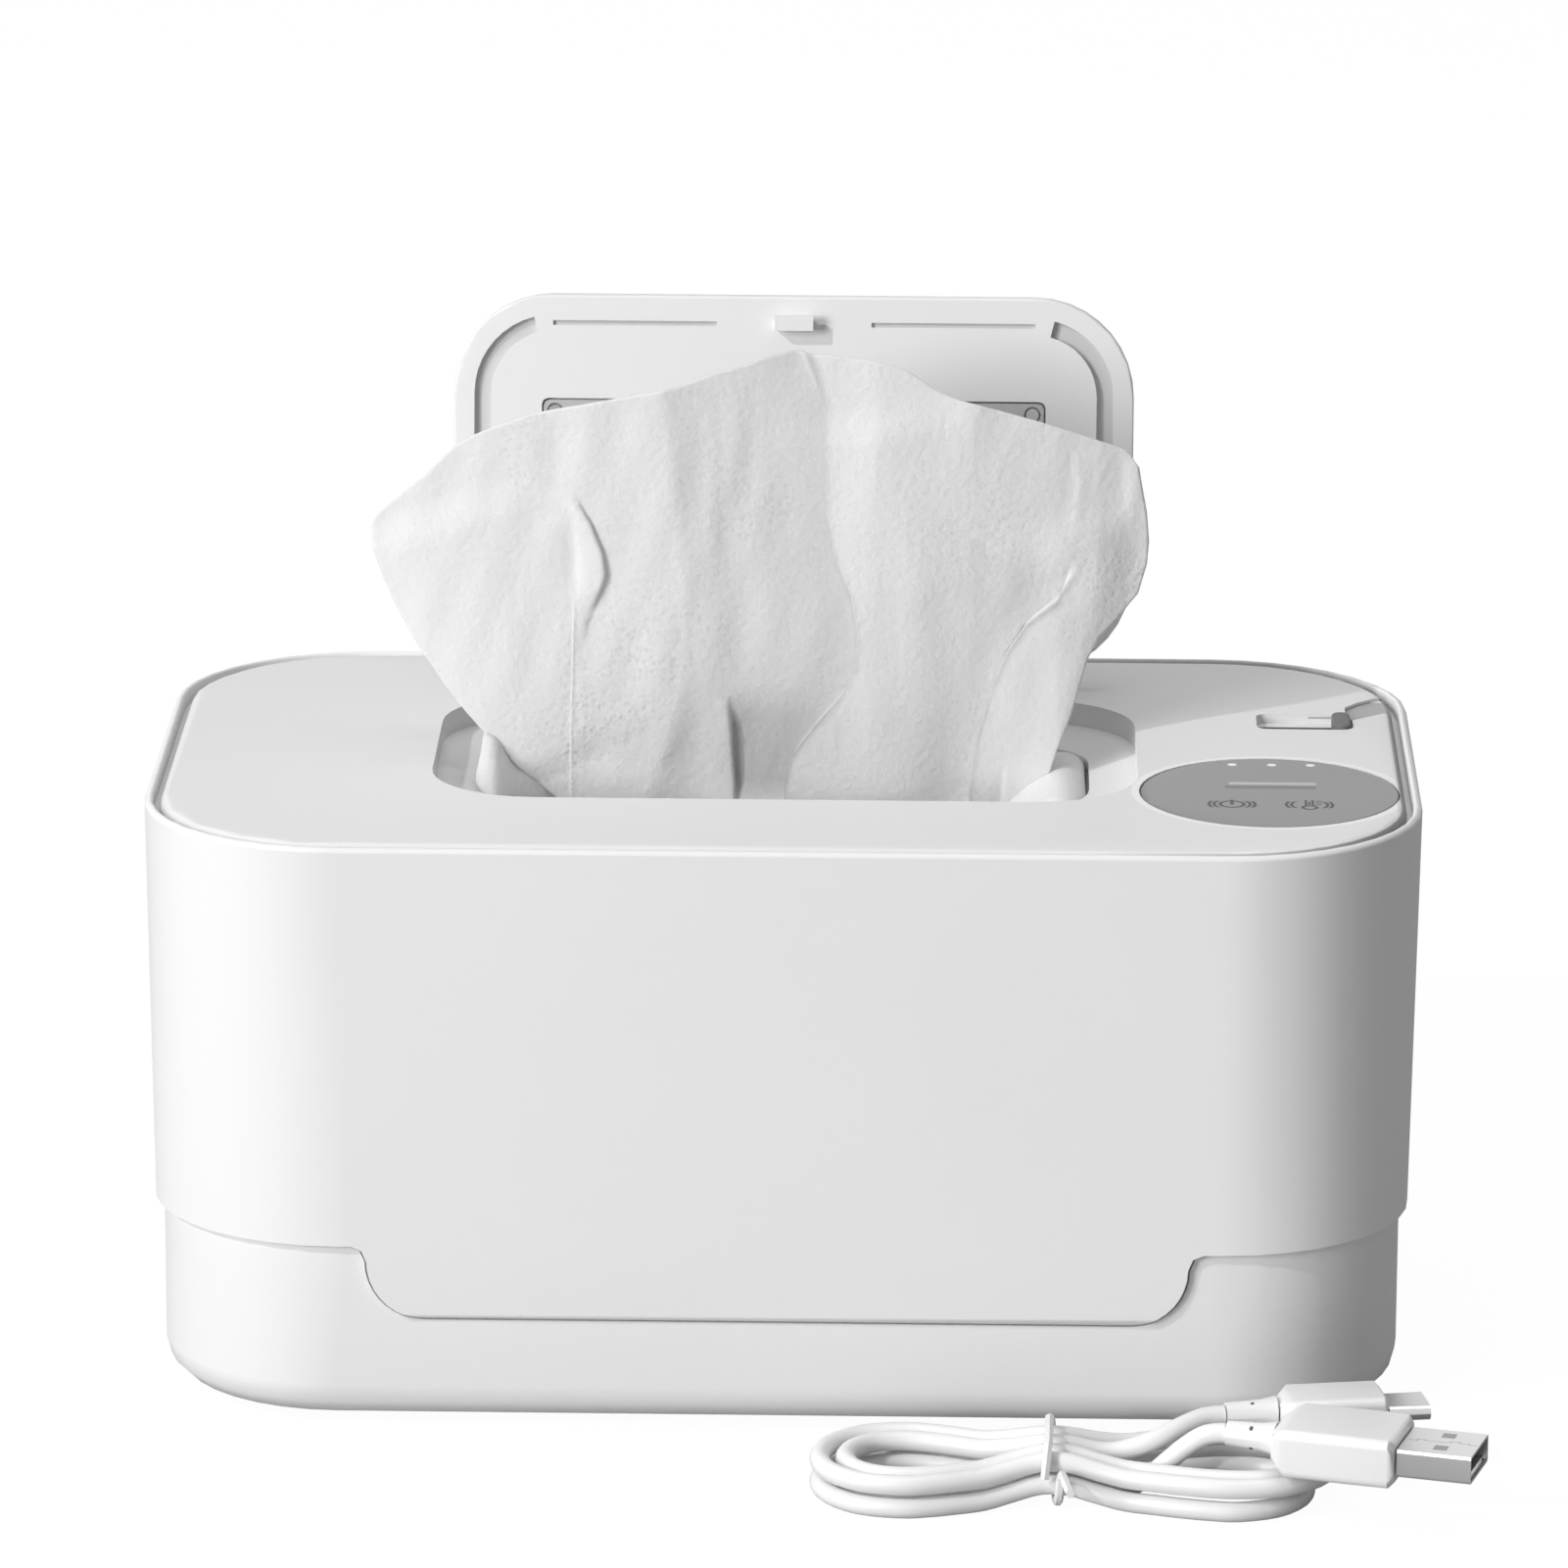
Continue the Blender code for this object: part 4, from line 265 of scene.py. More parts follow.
def ring_group():
    """A shared mask: 1 on an upright ring round a place."""
    group, inward, outward = shader_group(
        "ring_mask", (("Centre", "Vector"), ("Radius", "Float"), ("Half width", "Float")),
        (("Mask", "Float"),),
    )
    offset = add_node(
        group, "ShaderNodeVectorMath", {0: object_place(group), 1: inward["Centre"]}, operation="SUBTRACT"
    )
    level = add_node(
        group, "ShaderNodeVectorMath", {0: offset.outputs[0], 1: (1, 1, 0)}, operation="MULTIPLY"
    )
    away = add_node(group, "ShaderNodeVectorMath", {0: level.outputs[0]}, operation="LENGTH")
    off = add_node(
        group, "ShaderNodeMath", {0: away.outputs["Value"], 1: inward["Radius"]}, operation="SUBTRACT"
    )
    size = add_node(group, "ShaderNodeMath", {0: off.outputs[0]}, operation="ABSOLUTE")
    past = add_node(
        group, "ShaderNodeMath", {0: size.outputs[0], 1: inward["Half width"]}, operation="SUBTRACT"
    )
    group.links.new(edge_of(group, past.outputs[0]), outward["Mask"])
    return group


SURFACE = surface_group()
BOX = box_group()
RING = ring_group()


def metres(millimetres):
    return tuple(value * MILLIMETRE for value in millimetres)


def mask_of(made, group, inputs):
    return add_node(made.node_tree, "ShaderNodeGroup", inputs, node_tree=group).outputs["Mask"]


def box_mask(made, centre, half, turn=0.0):
    """A box mask, its centre and half size in millimetres."""
    return mask_of(made, BOX, {"Centre": metres(centre), "Half size": metres(half), "Turn": turn})


def ring_mask(made, centre, radius, half):
    """A ring mask, its centre, radius and half width in millimetres."""
    return mask_of(
        made, RING, {"Centre": metres(centre), "Radius": radius * MILLIMETRE, "Half width": half * MILLIMETRE}
    )


def product(made, first, second):
    return add_node(made.node_tree, "ShaderNodeMath", {0: first, 1: second}, operation="MULTIPLY").outputs[0]


def grey(tone):
    return (tone, tone, tone, 1)


def paint(made, mask, tone):
    """Lays a grey tone over the material's colour where the mask is 1."""
    tree = made.node_tree
    colour = tree.nodes["Principled BSDF"].inputs["Base Color"]
    below = colour.links[0].from_socket
    over = add_node(
        tree, "ShaderNodeMix", {"Factor": mask, "A": below, "B": grey(tone)}, data_type="RGBA"
    )
    tree.links.new(over.outputs["Result"], colour)


def paint_box(made, centre, half, tone, turn=0.0):
    paint(made, box_mask(made, centre, half, turn), tone)


def paint_ring(made, centre, radius, half, tone):
    paint(made, ring_mask(made, centre, radius, half), tone)


def finish_of(name, colour, roughness, grain=FINE_GRAIN, depth=FINE_DEPTH, metallic=0.0, specular=0.5):
    """A material with fine grain and slightly uneven gloss."""
    made, tree, shader = new_material(name)
    fine = add_node(
        tree, "ShaderNodeGroup",
        {"Grain size": grain, "Grain depth": depth, "Roughness": roughness, "Colour": (*colour, 1)},
        node_tree=SURFACE,
    )
    for fine_socket, socket in (("Colour", "Base Color"), ("Roughness", "Roughness"), ("Normal", "Normal")):
        tree.links.new(fine.outputs[fine_socket], shader.inputs[socket])
    shader.inputs["Metallic"].default_value = metallic
    shader.inputs["Specular IOR Level"].default_value = specular
    return made


WHITE = finish_of("moulded_white", (0.80, 0.80, 0.80), 0.55, specular=0.3)
LID = finish_of("lid_white", (0.80, 0.80, 0.80), 0.55, specular=0.3)
DECK = finish_of("deck_white", (0.76, 0.76, 0.76), 0.5, specular=0.3)
INNER = finish_of("inner_white", (0.74, 0.74, 0.75), 0.5)
RUBBER = finish_of("grey_rubber", (0.42, 0.42, 0.42), 0.75, grain=0.0004, depth=0.00003)
KNOB = finish_of("knob_grey", (0.14, 0.14, 0.145), 0.6, grain=0.0004, depth=0.00003, specular=0.3)
SMOKED = finish_of("smoked_window", (0.25, 0.25, 0.253), 0.3, grain=0.002, depth=0.000002, specular=0.15)
SILICONE = finish_of("lid_plate", (0.47, 0.47, 0.475), 0.6)
STEEL = finish_of("plated_steel", (0.62, 0.62, 0.63), 0.25, grain=0.0005, depth=0.000004, metallic=1.0)
PLUG_STEEL = finish_of("usb_a_steel", (0.72, 0.72, 0.73), 0.3, grain=0.0005, depth=0.000004, metallic=1.0)
ALUMINIUM = finish_of("heater_foil", (0.75, 0.75, 0.76), 0.35, grain=0.001, depth=0.00002, metallic=1.0)
BOARD = finish_of("solder_mask", (0.03, 0.16, 0.08), 0.4, grain=0.001, depth=0.00002)
FOAM = finish_of("foam", (0.6, 0.6, 0.58), 0.9, grain=0.0008, depth=0.0002)
JACKET = finish_of("cable_jacket", (0.82, 0.82, 0.82), 0.38, grain=0.0008)
RELIEF = finish_of("relief", (0.82, 0.82, 0.82), 0.38, grain=0.0008)
TIE = finish_of("tie_rubber", (0.80, 0.80, 0.80), 0.5)


# Marks, painted shade and painted highlights on the pieces, with their places in millimetres

# How far the masks of the window's marks reach up and down
WINDOW_REACH = 2
DISPLAY_CENTRE = (78.2, -23.3, 97.4)
DISPLAY_RADIUS = 20.8
# A painted highlight on the deck round the window: its gap from the window's edge, its half width and its
# tone
DISPLAY_HIGHLIGHT_GAP = 0.9
DISPLAY_HIGHLIGHT_HALF = 0.55
DISPLAY_HIGHLIGHT_TONE = 0.86
LAMP_PLACES = (72.6, 79.0, 85.3)
LAMP_Y = -6.4
LAMP_RADIUS = 0.75
LAMP_TONE = 0.9
# Painted boxes: (centre, half size, tone)
LEVEL_BAR_SHADE = ((78.4, -20.2, 97), (7.3, 0.9, WINDOW_REACH), 0.15)
LEVEL_BAR = ((78.8, -17.9, 97), (7.0, 0.75, WINDOW_REACH), 0.48)
# Painted shade on the shallow run-out from the slot to the deck's edge
RUN_OUT_SHADE = ((93, 27, 96.8), (7, 9, 0.16), 0.40)
# Painted shade on the slot's floor and at its left end, for the slot's dark depth
SLOT_FLOOR_SHADE = ((84.5, 19.6, 95.5), (10, 3.9, 0.6), 0.06)
ICON_TONE = 0.012
ICON_RING_HALF = 0.28
TOUCH_ARC_RADII = (2.9, 3.7)
TOUCH_ARC_HALF = 0.26
TOUCH_ARC_SIDES = (4.5, 1.9, WINDOW_REACH)
# The power and the heat icon: the key's centre, then rings as (rightwards, backwards, radius) and strokes as
# (rightwards, backwards, half width, half depth)
ICONS = (
    ((72.0, -30.6, 97.4), ((0, 0, 1.9),), ((0, 1.2, 0.3, 1.4),)),
    ((84.4, -30.6, 97.4), ((0, -1.6, 1.1),), (
        (-0.55, 0.9, 0.2, 1.9), (0.55, 0.9, 0.2, 1.9), (0, 0.9, 0.2, 0.9),
        (1.5, 0.2, 0.5, 0.2), (1.5, 1.2, 0.5, 0.2), (1.5, 2.2, 0.5, 0.2),
    )),
)
# The seam round the deck, with painted shade in it that grows darker towards the right: the centre of its
# corners' bends, how far from it the seam starts and ends, and how the painted shade grows darker from one
# place on X to another
DECK_CORNER_CENTRE = (70.5, 30.5, 0)
DECK_SEAM_START = 28.5
DECK_SEAM_END = 28.8
DECK_SEAM_PALE_X = 50
DECK_SEAM_DARK_X = 98
DECK_SEAM_LEAST_SHADE = 0.05
DECK_SEAM_MOST_SHADE = 0.9
DECK_SEAM_SHADE_TONE = 0.16
LID_LEAN = math.radians(8)
# Painted shade on the floors of the lid's grooves: how square to the lid's inner face a groove's floor faces,
# and the depths between which its floor lies
GROOVE_SQUARE = 0.97
GROOVE_PLANES = ((-26.2, -25.9), (-25.6, -25.3))
GROOVE_SHADE_TONE = 0.58
USB_A_TURN = math.atan2(-0.271, 0.963)
USB_C_TURN = math.atan2(0.163, 0.987)
USB_A_SHELL = Vector((98.75, -97.5, 13.8))
SHELL_REACH = 0.2
CATCH_HOLE_ALONG = 6.3
CATCH_HOLE_SIDE = 2.95
CATCH_HOLE_HALF = 1.1
CATCH_HOLE_TONE = 0.30
# The straight runs of the folded seam on the shell: (start, end, side)
SHELL_SEAM = (
    (0.6, 2.0, -0.5), (2.0, 3.2, 0.1), (3.2, 7.2, -0.2), (7.2, 8.6, 0.4), (8.6, 10.2, 0.0),
    (10.2, 11.6, -0.4),
)
SHELL_SEAM_HALF = 0.06
SHELL_SEAM_TONE = 0.08
RELIEF_PLACES = ((75.2, -91.1), (75.26, -77.76))
RELIEF_DOT_SIDE = 1.1
RELIEF_DOT_RADIUS = 0.32
RELIEF_DOT_TONE = 0.06


def mark_window():
    """The lamps, the level bar and the two touch keys under the smoked window."""
    for x in LAMP_PLACES:
        paint_ring(SMOKED, (x, LAMP_Y, 0), 0, LAMP_RADIUS, LAMP_TONE)
    paint_box(SMOKED, *LEVEL_BAR_SHADE)
    paint_box(SMOKED, *LEVEL_BAR)
    for key, rings, strokes in ICONS:
        sides = box_mask(SMOKED, key, TOUCH_ARC_SIDES)
        for radius in TOUCH_ARC_RADII:
            arc = ring_mask(SMOKED, key, radius, TOUCH_ARC_HALF)
            paint(SMOKED, product(SMOKED, arc, sides), ICON_TONE)
        x, y, z = key
        for right, back, radius in rings:
            paint_ring(SMOKED, (x + right, y + back, z), radius, ICON_RING_HALF, ICON_TONE)
        for right, back, half_x, half_y in strokes:
            paint_box(SMOKED, (x + right, y + back, z), (half_x, half_y, WINDOW_REACH), ICON_TONE)


def mark_deck():
    """A painted highlight round the window, painted shade on the slot's floor and on its run-out, and painted
    shade in the seam round the deck, darker towards the right.
    """
    paint_ring(DECK, DISPLAY_CENTRE, DISPLAY_RADIUS + DISPLAY_HIGHLIGHT_GAP, DISPLAY_HIGHLIGHT_HALF, DISPLAY_HIGHLIGHT_TONE)
    paint_box(DECK, *RUN_OUT_SHADE)
    paint_box(DECK, *SLOT_FLOOR_SHADE)
    tree = DECK.node_tree
    place = object_place(tree)
    reach = add_node(tree, "ShaderNodeVectorMath", {0: place}, operation="ABSOLUTE")
    over = add_node(
        tree, "ShaderNodeVectorMath", {0: reach.outputs[0], 1: metres(DECK_CORNER_CENTRE)},
        operation="SUBTRACT",
    )
    corner = add_node(tree, "ShaderNodeVectorMath", {0: over.outputs[0], 1: (0, 0, 0)}, operation="MAXIMUM")
    level = add_node(tree, "ShaderNodeVectorMath", {0: corner.outputs[0], 1: (1, 1, 0)}, operation="MULTIPLY")
    away = add_node(tree, "ShaderNodeVectorMath", {0: level.outputs[0]}, operation="LENGTH")
    start, end, pale_x, dark_x = metres((DECK_SEAM_START, DECK_SEAM_END, DECK_SEAM_PALE_X, DECK_SEAM_DARK_X))
    seam = add_node(
        tree, "ShaderNodeMapRange", {"Value": away.outputs["Value"], "From Min": start, "From Max": end}
    )
    parts = add_node(tree, "ShaderNodeSeparateXYZ", {0: place})
    rightwards = add_node(
        tree, "ShaderNodeMapRange",
        {"Value": parts.outputs[0], "From Min": pale_x, "From Max": dark_x, "To Min": DECK_SEAM_LEAST_SHADE,
         "To Max": DECK_SEAM_MOST_SHADE},
    )
    # Painted shade in the seam round the deck, darker towards the right
    paint(DECK, product(DECK, seam.outputs["Result"], rightwards.outputs["Result"]), DECK_SEAM_SHADE_TONE)


def mark_lid():
    """Painted shade on the floors of the grooves in the lid's underside."""
    tree = LID.node_tree
    texture = add_node(tree, "ShaderNodeTexCoord")
    outwards = (0, -math.cos(LID_LEAN), math.sin(LID_LEAN))
    depth = add_node(
        tree, "ShaderNodeVectorMath", {0: texture.outputs["Object"], 1: outwards}, operation="DOT_PRODUCT"
    )
    facing = add_node(
        tree, "ShaderNodeVectorMath", {0: texture.outputs["Normal"], 1: outwards}, operation="DOT_PRODUCT"
    )
    square = add_node(
        tree, "ShaderNodeMath", {0: facing.outputs["Value"], 1: GROOVE_SQUARE}, operation="GREATER_THAN"
    )
    for low, high in GROOVE_PLANES:
        middle, half = metres(((low + high) / 2, (high - low) / 2))
        inside = add_node(
            tree, "ShaderNodeMath", {0: depth.outputs["Value"], 1: middle, 2: half}, operation="COMPARE"
        )
        paint(LID, product(LID, inside.outputs[0], square.outputs[0]), GROOVE_SHADE_TONE)


def mark_shell(along, side, half_length, half_width, tone):
    """A box painted on top of the USB-A shell, along it and aside from its middle line."""
    ahead = Vector((math.cos(USB_A_TURN), math.sin(USB_A_TURN), 0))
    aside = Vector((-math.sin(USB_A_TURN), math.cos(USB_A_TURN), 0))
    centre = USB_A_SHELL + ahead * along + aside * side
    paint_box(PLUG_STEEL, centre, (half_length, half_width, SHELL_REACH), tone, USB_A_TURN)


def mark_plugs():
    """The two catch holes and the folded seam on the USB-A shell, and the two dots on each cable relief."""
    for side in (-CATCH_HOLE_SIDE, CATCH_HOLE_SIDE):
        mark_shell(CATCH_HOLE_ALONG, side, CATCH_HOLE_HALF, CATCH_HOLE_HALF, CATCH_HOLE_TONE)
    for start, end, side in SHELL_SEAM:
        mark_shell((start + end) / 2, side, (end - start) / 2, SHELL_SEAM_HALF, SHELL_SEAM_TONE)
    for (_, _, last), (start, _, side) in zip(SHELL_SEAM, SHELL_SEAM[1:]):
        half = abs(side - last) / 2 + SHELL_SEAM_HALF
        mark_shell(start, (side + last) / 2, SHELL_SEAM_HALF, half, SHELL_SEAM_TONE)
    for (x, y), turn in zip(RELIEF_PLACES, (USB_A_TURN, USB_C_TURN)):
        for side in (-RELIEF_DOT_SIDE, RELIEF_DOT_SIDE):
            centre = (x - side * math.sin(turn), y + side * math.cos(turn), 0)
            paint_ring(RELIEF, centre, 0, RELIEF_DOT_RADIUS, RELIEF_DOT_TONE)


mark_window()
mark_deck()
mark_plugs()
mark_lid()


# The wipes' cloth

CLOTH_TONE = 0.79
# The pits' darker tone is painted shade in the cloth's small dimples
PIT_SHADE_TONE = 0.64
PIT_SCALE = 950.0
PIT_CORE = 0.1
PIT_REACH = 0.5
PIT_DEPTH = 0.00008
PATCH_SCALE = 42.0
PATCH_DETAIL = 5.0
PATCH_START = 0.49
PATCH_FULL = 0.70
FIBRE_SCALE = 800.0
FIBRE_DETAIL = 3.0
FIBRE_DEPTH = 0.0002
CLOTH_INPUTS = {
    "Roughness": 0.8, "Specular IOR Level": 0.2, "Subsurface Weight": 0.4, "Subsurface Radius": (1, 1, 1),
    "Subsurface Scale": 0.0025,
}


def cloth_finish():
    """Soft moist non-woven cloth with patches of small pits, with painted shade in the pits, and painted
    shade and painted light from its attribute.
    """
    made, tree, shader = new_material("wipe_cloth")
    for slot, value in CLOTH_INPUTS.items():
        shader.inputs[slot].default_value = value
    place = object_place(tree)
    cells = add_node(tree, "ShaderNodeTexVoronoi", {"Vector": place, "Scale": PIT_SCALE})
    pit = add_node(
        tree, "ShaderNodeMapRange",
        {"Value": cells.outputs["Distance"], "From Min": PIT_CORE, "From Max": PIT_REACH, "To Min": 1.0,
         "To Max": 0.0},
    )
    patches = add_node(
        tree, "ShaderNodeTexNoise", {"Vector": place, "Scale": PATCH_SCALE, "Detail": PATCH_DETAIL}
    )
    patch = add_node(
        tree, "ShaderNodeMapRange",
        {"Value": patches.outputs["Fac"], "From Min": PATCH_START, "From Max": PATCH_FULL},
    )
    pits = product(made, pit.outputs["Result"], patch.outputs["Result"])
    # Painted shade in the pits
    tone = add_node(
        tree, "ShaderNodeMix", {"Factor": pits, "A": grey(CLOTH_TONE), "B": grey(PIT_SHADE_TONE)}, data_type="RGBA"
    )
    # Painted shade and painted light from the cloth's attribute
    fold = add_node(tree, "ShaderNodeAttribute", attribute_name="painted_shade")
    light = add_node(tree, "ShaderNodeMath", {0: 1.0, 1: fold.outputs["Fac"]}, operation="SUBTRACT")
    shade = add_node(
        tree, "ShaderNodeVectorMath", {0: tone.outputs["Result"], "Scale": light.outputs[0]},
        operation="SCALE",
    )
    tree.links.new(shade.outputs[0], shader.inputs["Base Color"])
    fibres = add_node(
        tree, "ShaderNodeTexNoise", {"Vector": place, "Scale": FIBRE_SCALE, "Detail": FIBRE_DETAIL}
    )
    pitted = add_node(tree, "ShaderNodeBump", {"Height": pits, "Distance": PIT_DEPTH}, invert=True)
    woven = add_node(
        tree, "ShaderNodeBump",
        {"Height": fibres.outputs["Fac"], "Distance": FIBRE_DEPTH, "Normal": pitted.outputs["Normal"]},
    )
    tree.links.new(woven.outputs["Normal"], shader.inputs["Normal"])
    return made


WIPE = cloth_finish()

# The finish of each CAD piece; the others, such as screws, pins and springs, are of plated steel
FINISHES = {
    "base_tray": WHITE, "outer_shell": WHITE, "top_deck": DECK, "lid_shell": LID, "lid_inner_plate": SILICONE,
    "display_window": SMOKED, "light_guide": INNER, "inner_liner": INNER, "chute_seal": SILICONE,
    "foot_front_left": RUBBER, "foot_front_right": RUBBER, "foot_rear_left": RUBBER,
    "foot_rear_right": RUBBER, "slide_knob": KNOB, "control_board": BOARD, "heater_plate": ALUMINIUM,
    "insulation_pad": FOAM, "heater_lead": RUBBER, "cable_tie": TIE, "usb_cable": JACKET,
    "usb_a_relief": RELIEF, "usb_a_overmould": JACKET, "usb_a_metal": PLUG_STEEL, "usb_c_relief": RELIEF,
    "usb_c_overmould": JACKET,
}
for name, node in NODES.items():
    node.data.materials.clear()
    node.data.materials.append(FINISHES.get(name, STEEL))


# Smooth shading of the CAD pieces

SMOOTH_ANGLE = 50
MERGE_DISTANCE = 0.000001
NORMAL_WEIGHT = 80


def smoothing_group():
    """Joins touching corners and shades smooth across every edge flatter than the limit."""
    group = bpy.data.node_groups.new("smooth_by_angle", "GeometryNodeTree")
    for in_out in ("INPUT", "OUTPUT"):
        group.interface.new_socket("Geometry", in_out=in_out, socket_type="NodeSocketGeometry")
    inward = group.nodes.new("NodeGroupInput")
    merge = add_node(
        group, "GeometryNodeMergeByDistance", {"Geometry": inward.outputs[0], "Distance": MERGE_DISTANCE}
    )
    faces = add_node(group, "GeometryNodeSetShadeSmooth", {"Geometry": merge.outputs[0]})
    angle = add_node(group, "GeometryNodeInputMeshEdgeAngle")
    flat = add_node(
        group, "ShaderNodeMath", {0: angle.outputs["Unsigned Angle"], 1: math.radians(SMOOTH_ANGLE)},
        operation="LESS_THAN",
    )
    edges = add_node(
        group, "GeometryNodeSetShadeSmooth", {"Geometry": faces.outputs[0], "Shade Smooth": flat.outputs[0]},
        domain="EDGE",
    )
    add_node(group, "NodeGroupOutput", {0: edges.outputs[0]})
    return group


SMOOTHING = smoothing_group()
for node in NODES.values():
    smoothing = node.modifiers.new("smooth", "NODES")
    smoothing.node_group = SMOOTHING
    weighted = node.modifiers.new("even_normals", "WEIGHTED_NORMAL")
    weighted.keep_sharp = True
    weighted.weight = NORMAL_WEIGHT


# The cord

# The stretch of a bend in which its strand climbs from one layer to the other
CLIMB_START = 0.05
CLIMB_SHARE = 0.55
# Steps from one point of the route to the next, and the resolution of the curve's bevel
ROUTE_STEPS = 3
CORD_ROUNDNESS = 5


def plug_middle(height):
    """The middle height of a plug that lies on the hank's upper layer."""
    return FLOOR_GAP + 2 * CORD_RADIUS + LAYER_STEP + TIE_CLEARANCE + height / 2


def strand_height(layer, along):
    """The middle of a strand in a layer, lifted at the tie, which passes under it."""
    lift = (2 * TIE_RADIUS + TIE_CLEARANCE) * (1 - eased(abs(along) / HANK_LEFT_CENTRE * 2))
    return FLOOR_GAP + CORD_RADIUS + layer * LAYER_STEP + lift


def run_points(waist, left_end, right_end, layer, forwards):
    """A strand from the left bend to the right one, or back, without its two end points."""
    points = []
    for i in range(1, 2 * RUN_POINTS):
        along = -HANK_LEFT_CENTRE + (HANK_LEFT_CENTRE + HANK_RIGHT_CENTRE) * i / (2 * RUN_POINTS)
        centre, end = (HANK_LEFT_CENTRE, left_end) if along < 0 else (HANK_RIGHT_CENTRE, right_end)
        side = waist + (end - waist) * eased(abs(along) / centre)
        points.append(Vector((along, side, strand_height(layer, along))))
    return points if forwards else points[::-1]


def bend_points(right, start_radius, end_radius, start_layer, end_layer):
    """A half turn at one end of the hank."""
    way = 1 if right else -1
    centre = HANK_RIGHT_CENTRE if right else -HANK_LEFT_CENTRE
    points = []
    for i in range(BEND_POINTS + 1):
        share = i / BEND_POINTS
        radius = way * (start_radius + (end_radius - start_radius) * share)
        angle = math.pi * share
        layer = start_layer + (end_layer - start_layer) * eased((share - CLIMB_START) / CLIMB_SHARE)
        height = FLOOR_GAP + CORD_RADIUS + layer * LAYER_STEP
        points.append(Vector((centre + radius * math.sin(angle), radius * math.cos(angle), height)))
    return points


def free_end(waist, side, layer, plug_height, rise_start, inward):
    """From the tie to a plug that rests on the hank, without the point at the tie's middle."""
    points = []
    for i in range(1, END_POINTS + 1):
        share = i / END_POINTS
        climb = eased((share - rise_start) / (PLUG_LEVEL_SHARE - rise_start))
        drawn = waist * (1 - inward * eased(share / rise_start))
        drift = drawn + (side - drawn) * eased((share - PLUG_DRIFT_SHARE) / (1 - PLUG_DRIFT_SHARE))
        low = strand_height(layer, PLUG_START * share)
        points.append(Vector((PLUG_START * share, drift, low + (plug_height - low) * climb)))
    return points


def cable_route():
    """The cable's centre line from one plug to the other, about the hank's own middle."""
    inner = HANK_INNER_RADIUS
    outer = inner + STRAND_STEP
    wide = outer + STRAND_STEP
    near = STRAND_STEP / 2
    far = near + STRAND_STEP
    points = free_end(
        -near, USB_A_SIDE, 0, plug_middle(USB_A_HEIGHT), LOWER_END_RISE_SHARE, LOWER_END_INWARD_SHARE
    )[::-1]
    points.append(Vector((0, -near, strand_height(0, 0.0))))
    points += [p for p in run_points(-near, -inner, -inner, 0, False) if p.x < -CORD_RADIUS]
    points += bend_points(False, inner, inner, 0, 0)
    points += run_points(near, inner, inner, 0, True)
    points += bend_points(True, inner, outer, 0, 0)
    points += run_points(-far, -outer, -outer, 0, False)
    points += bend_points(False, outer, outer, 0, 0)
    points += run_points(far, outer, wide, 0, True)
    points += bend_points(True, wide, outer, 0, 1)
    points += run_points(-far, -outer, -outer, 1, False)
    points += bend_points(False, outer, outer, 1, 1)
    points += run_points(far, outer, outer, 1, True)
    points += bend_points(True, outer, inner, 1, 1)
    points += run_points(-near, -inner, -inner, 1, False)
    points += bend_points(False, inner, inner, 1, 1)
    points += [p for p in run_points(near, inner, inner, 1, True) if p.x < -CORD_RADIUS]
    points.append(Vector((0, near, strand_height(1, 0.0))))
    points += free_end(near, USB_C_SIDE, 1, plug_middle(USB_C_HEIGHT), UPPER_END_RISE_SHARE, 0.0)
    return [Vector((HANK_X, HANK_Y, 0)) + p for p in points]


def make_cord():
    """The USB cable in its hank."""
    route = smooth_line(cable_route(), ROUTE_STEPS)
    curve = bpy.data.curves.new("cord", "CURVE")
    curve.dimensions = "3D"
    curve.bevel_depth = CORD_RADIUS
    curve.bevel_resolution = CORD_ROUNDNESS
    curve.use_fill_caps = True
    spline = curve.splines.new("POLY")
    spline.points.add(len(route) - 1)
    for point, place in zip(spline.points, route):
        point.co = (*place, 1)
    cord = add_piece("cord", curve, JACKET, "base")
    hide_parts("usb_cable")


make_cord()


# The pulled wipe

WIPE_COLUMNS = 256
WIPE_ROWS = 176
# The outline of the wipe, seen from the front, in millimetres: (z, x) of its sides and (x, z) of its top edge
WIPE_LEFT_EDGE = (
    (62.6, -29.0), (84.0, -34.0), (88.0, -37.0), (90.9, -40.7), (96.1, -46.4), (102.8, -52.5), (107.6, -56.3),
    (113.8, -60.5), (120.4, -64.2), (125.2, -66.3), (129.0, -67.8), (133.5, -68.2),
)
WIPE_RIGHT_EDGE = (
    (62.6, 33.0), (84.0, 39.9), (88.8, 41.6), (96.6, 44.1), (102.4, 46.4), (107.2, 47.8), (111.5, 49.1),
    (114.9, 50.9), (118.2, 54.2), (121.6, 57.2), (126.4, 58.6), (130.2, 58.9), (134.9, 58.5), (140.6, 57.4),
    (144.4, 56.8),
)
WIPE_TOP_EDGE = (
    (-68.2, 133.5), (-67.2, 135.4), (-64.7, 137.6), (-59.5, 141.9), (-54.3, 146.8), (-51.1, 148.6),
    (-47.3, 150.2), (-42.6, 151.8), (-39.3, 152.6), (-32.3, 153.9), (-23.9, 155.4), (-17.4, 156.7),
    (-11.8, 158.8), (-8.0, 159.7), (-4.3, 161.2), (0.4, 162.1), (6.0, 162.2), (10.7, 161.6), (15.3, 160.8),
    (19.5, 159.5), (21.9, 158.0), (24.3, 156.3), (27.1, 155.1), (30.4, 154.3), (35.0, 153.1), (39.7, 151.9),
    (42.5, 151.1), (47.2, 149.7), (51.9, 148.3), (55.2, 147.2), (56.8, 144.4),
)
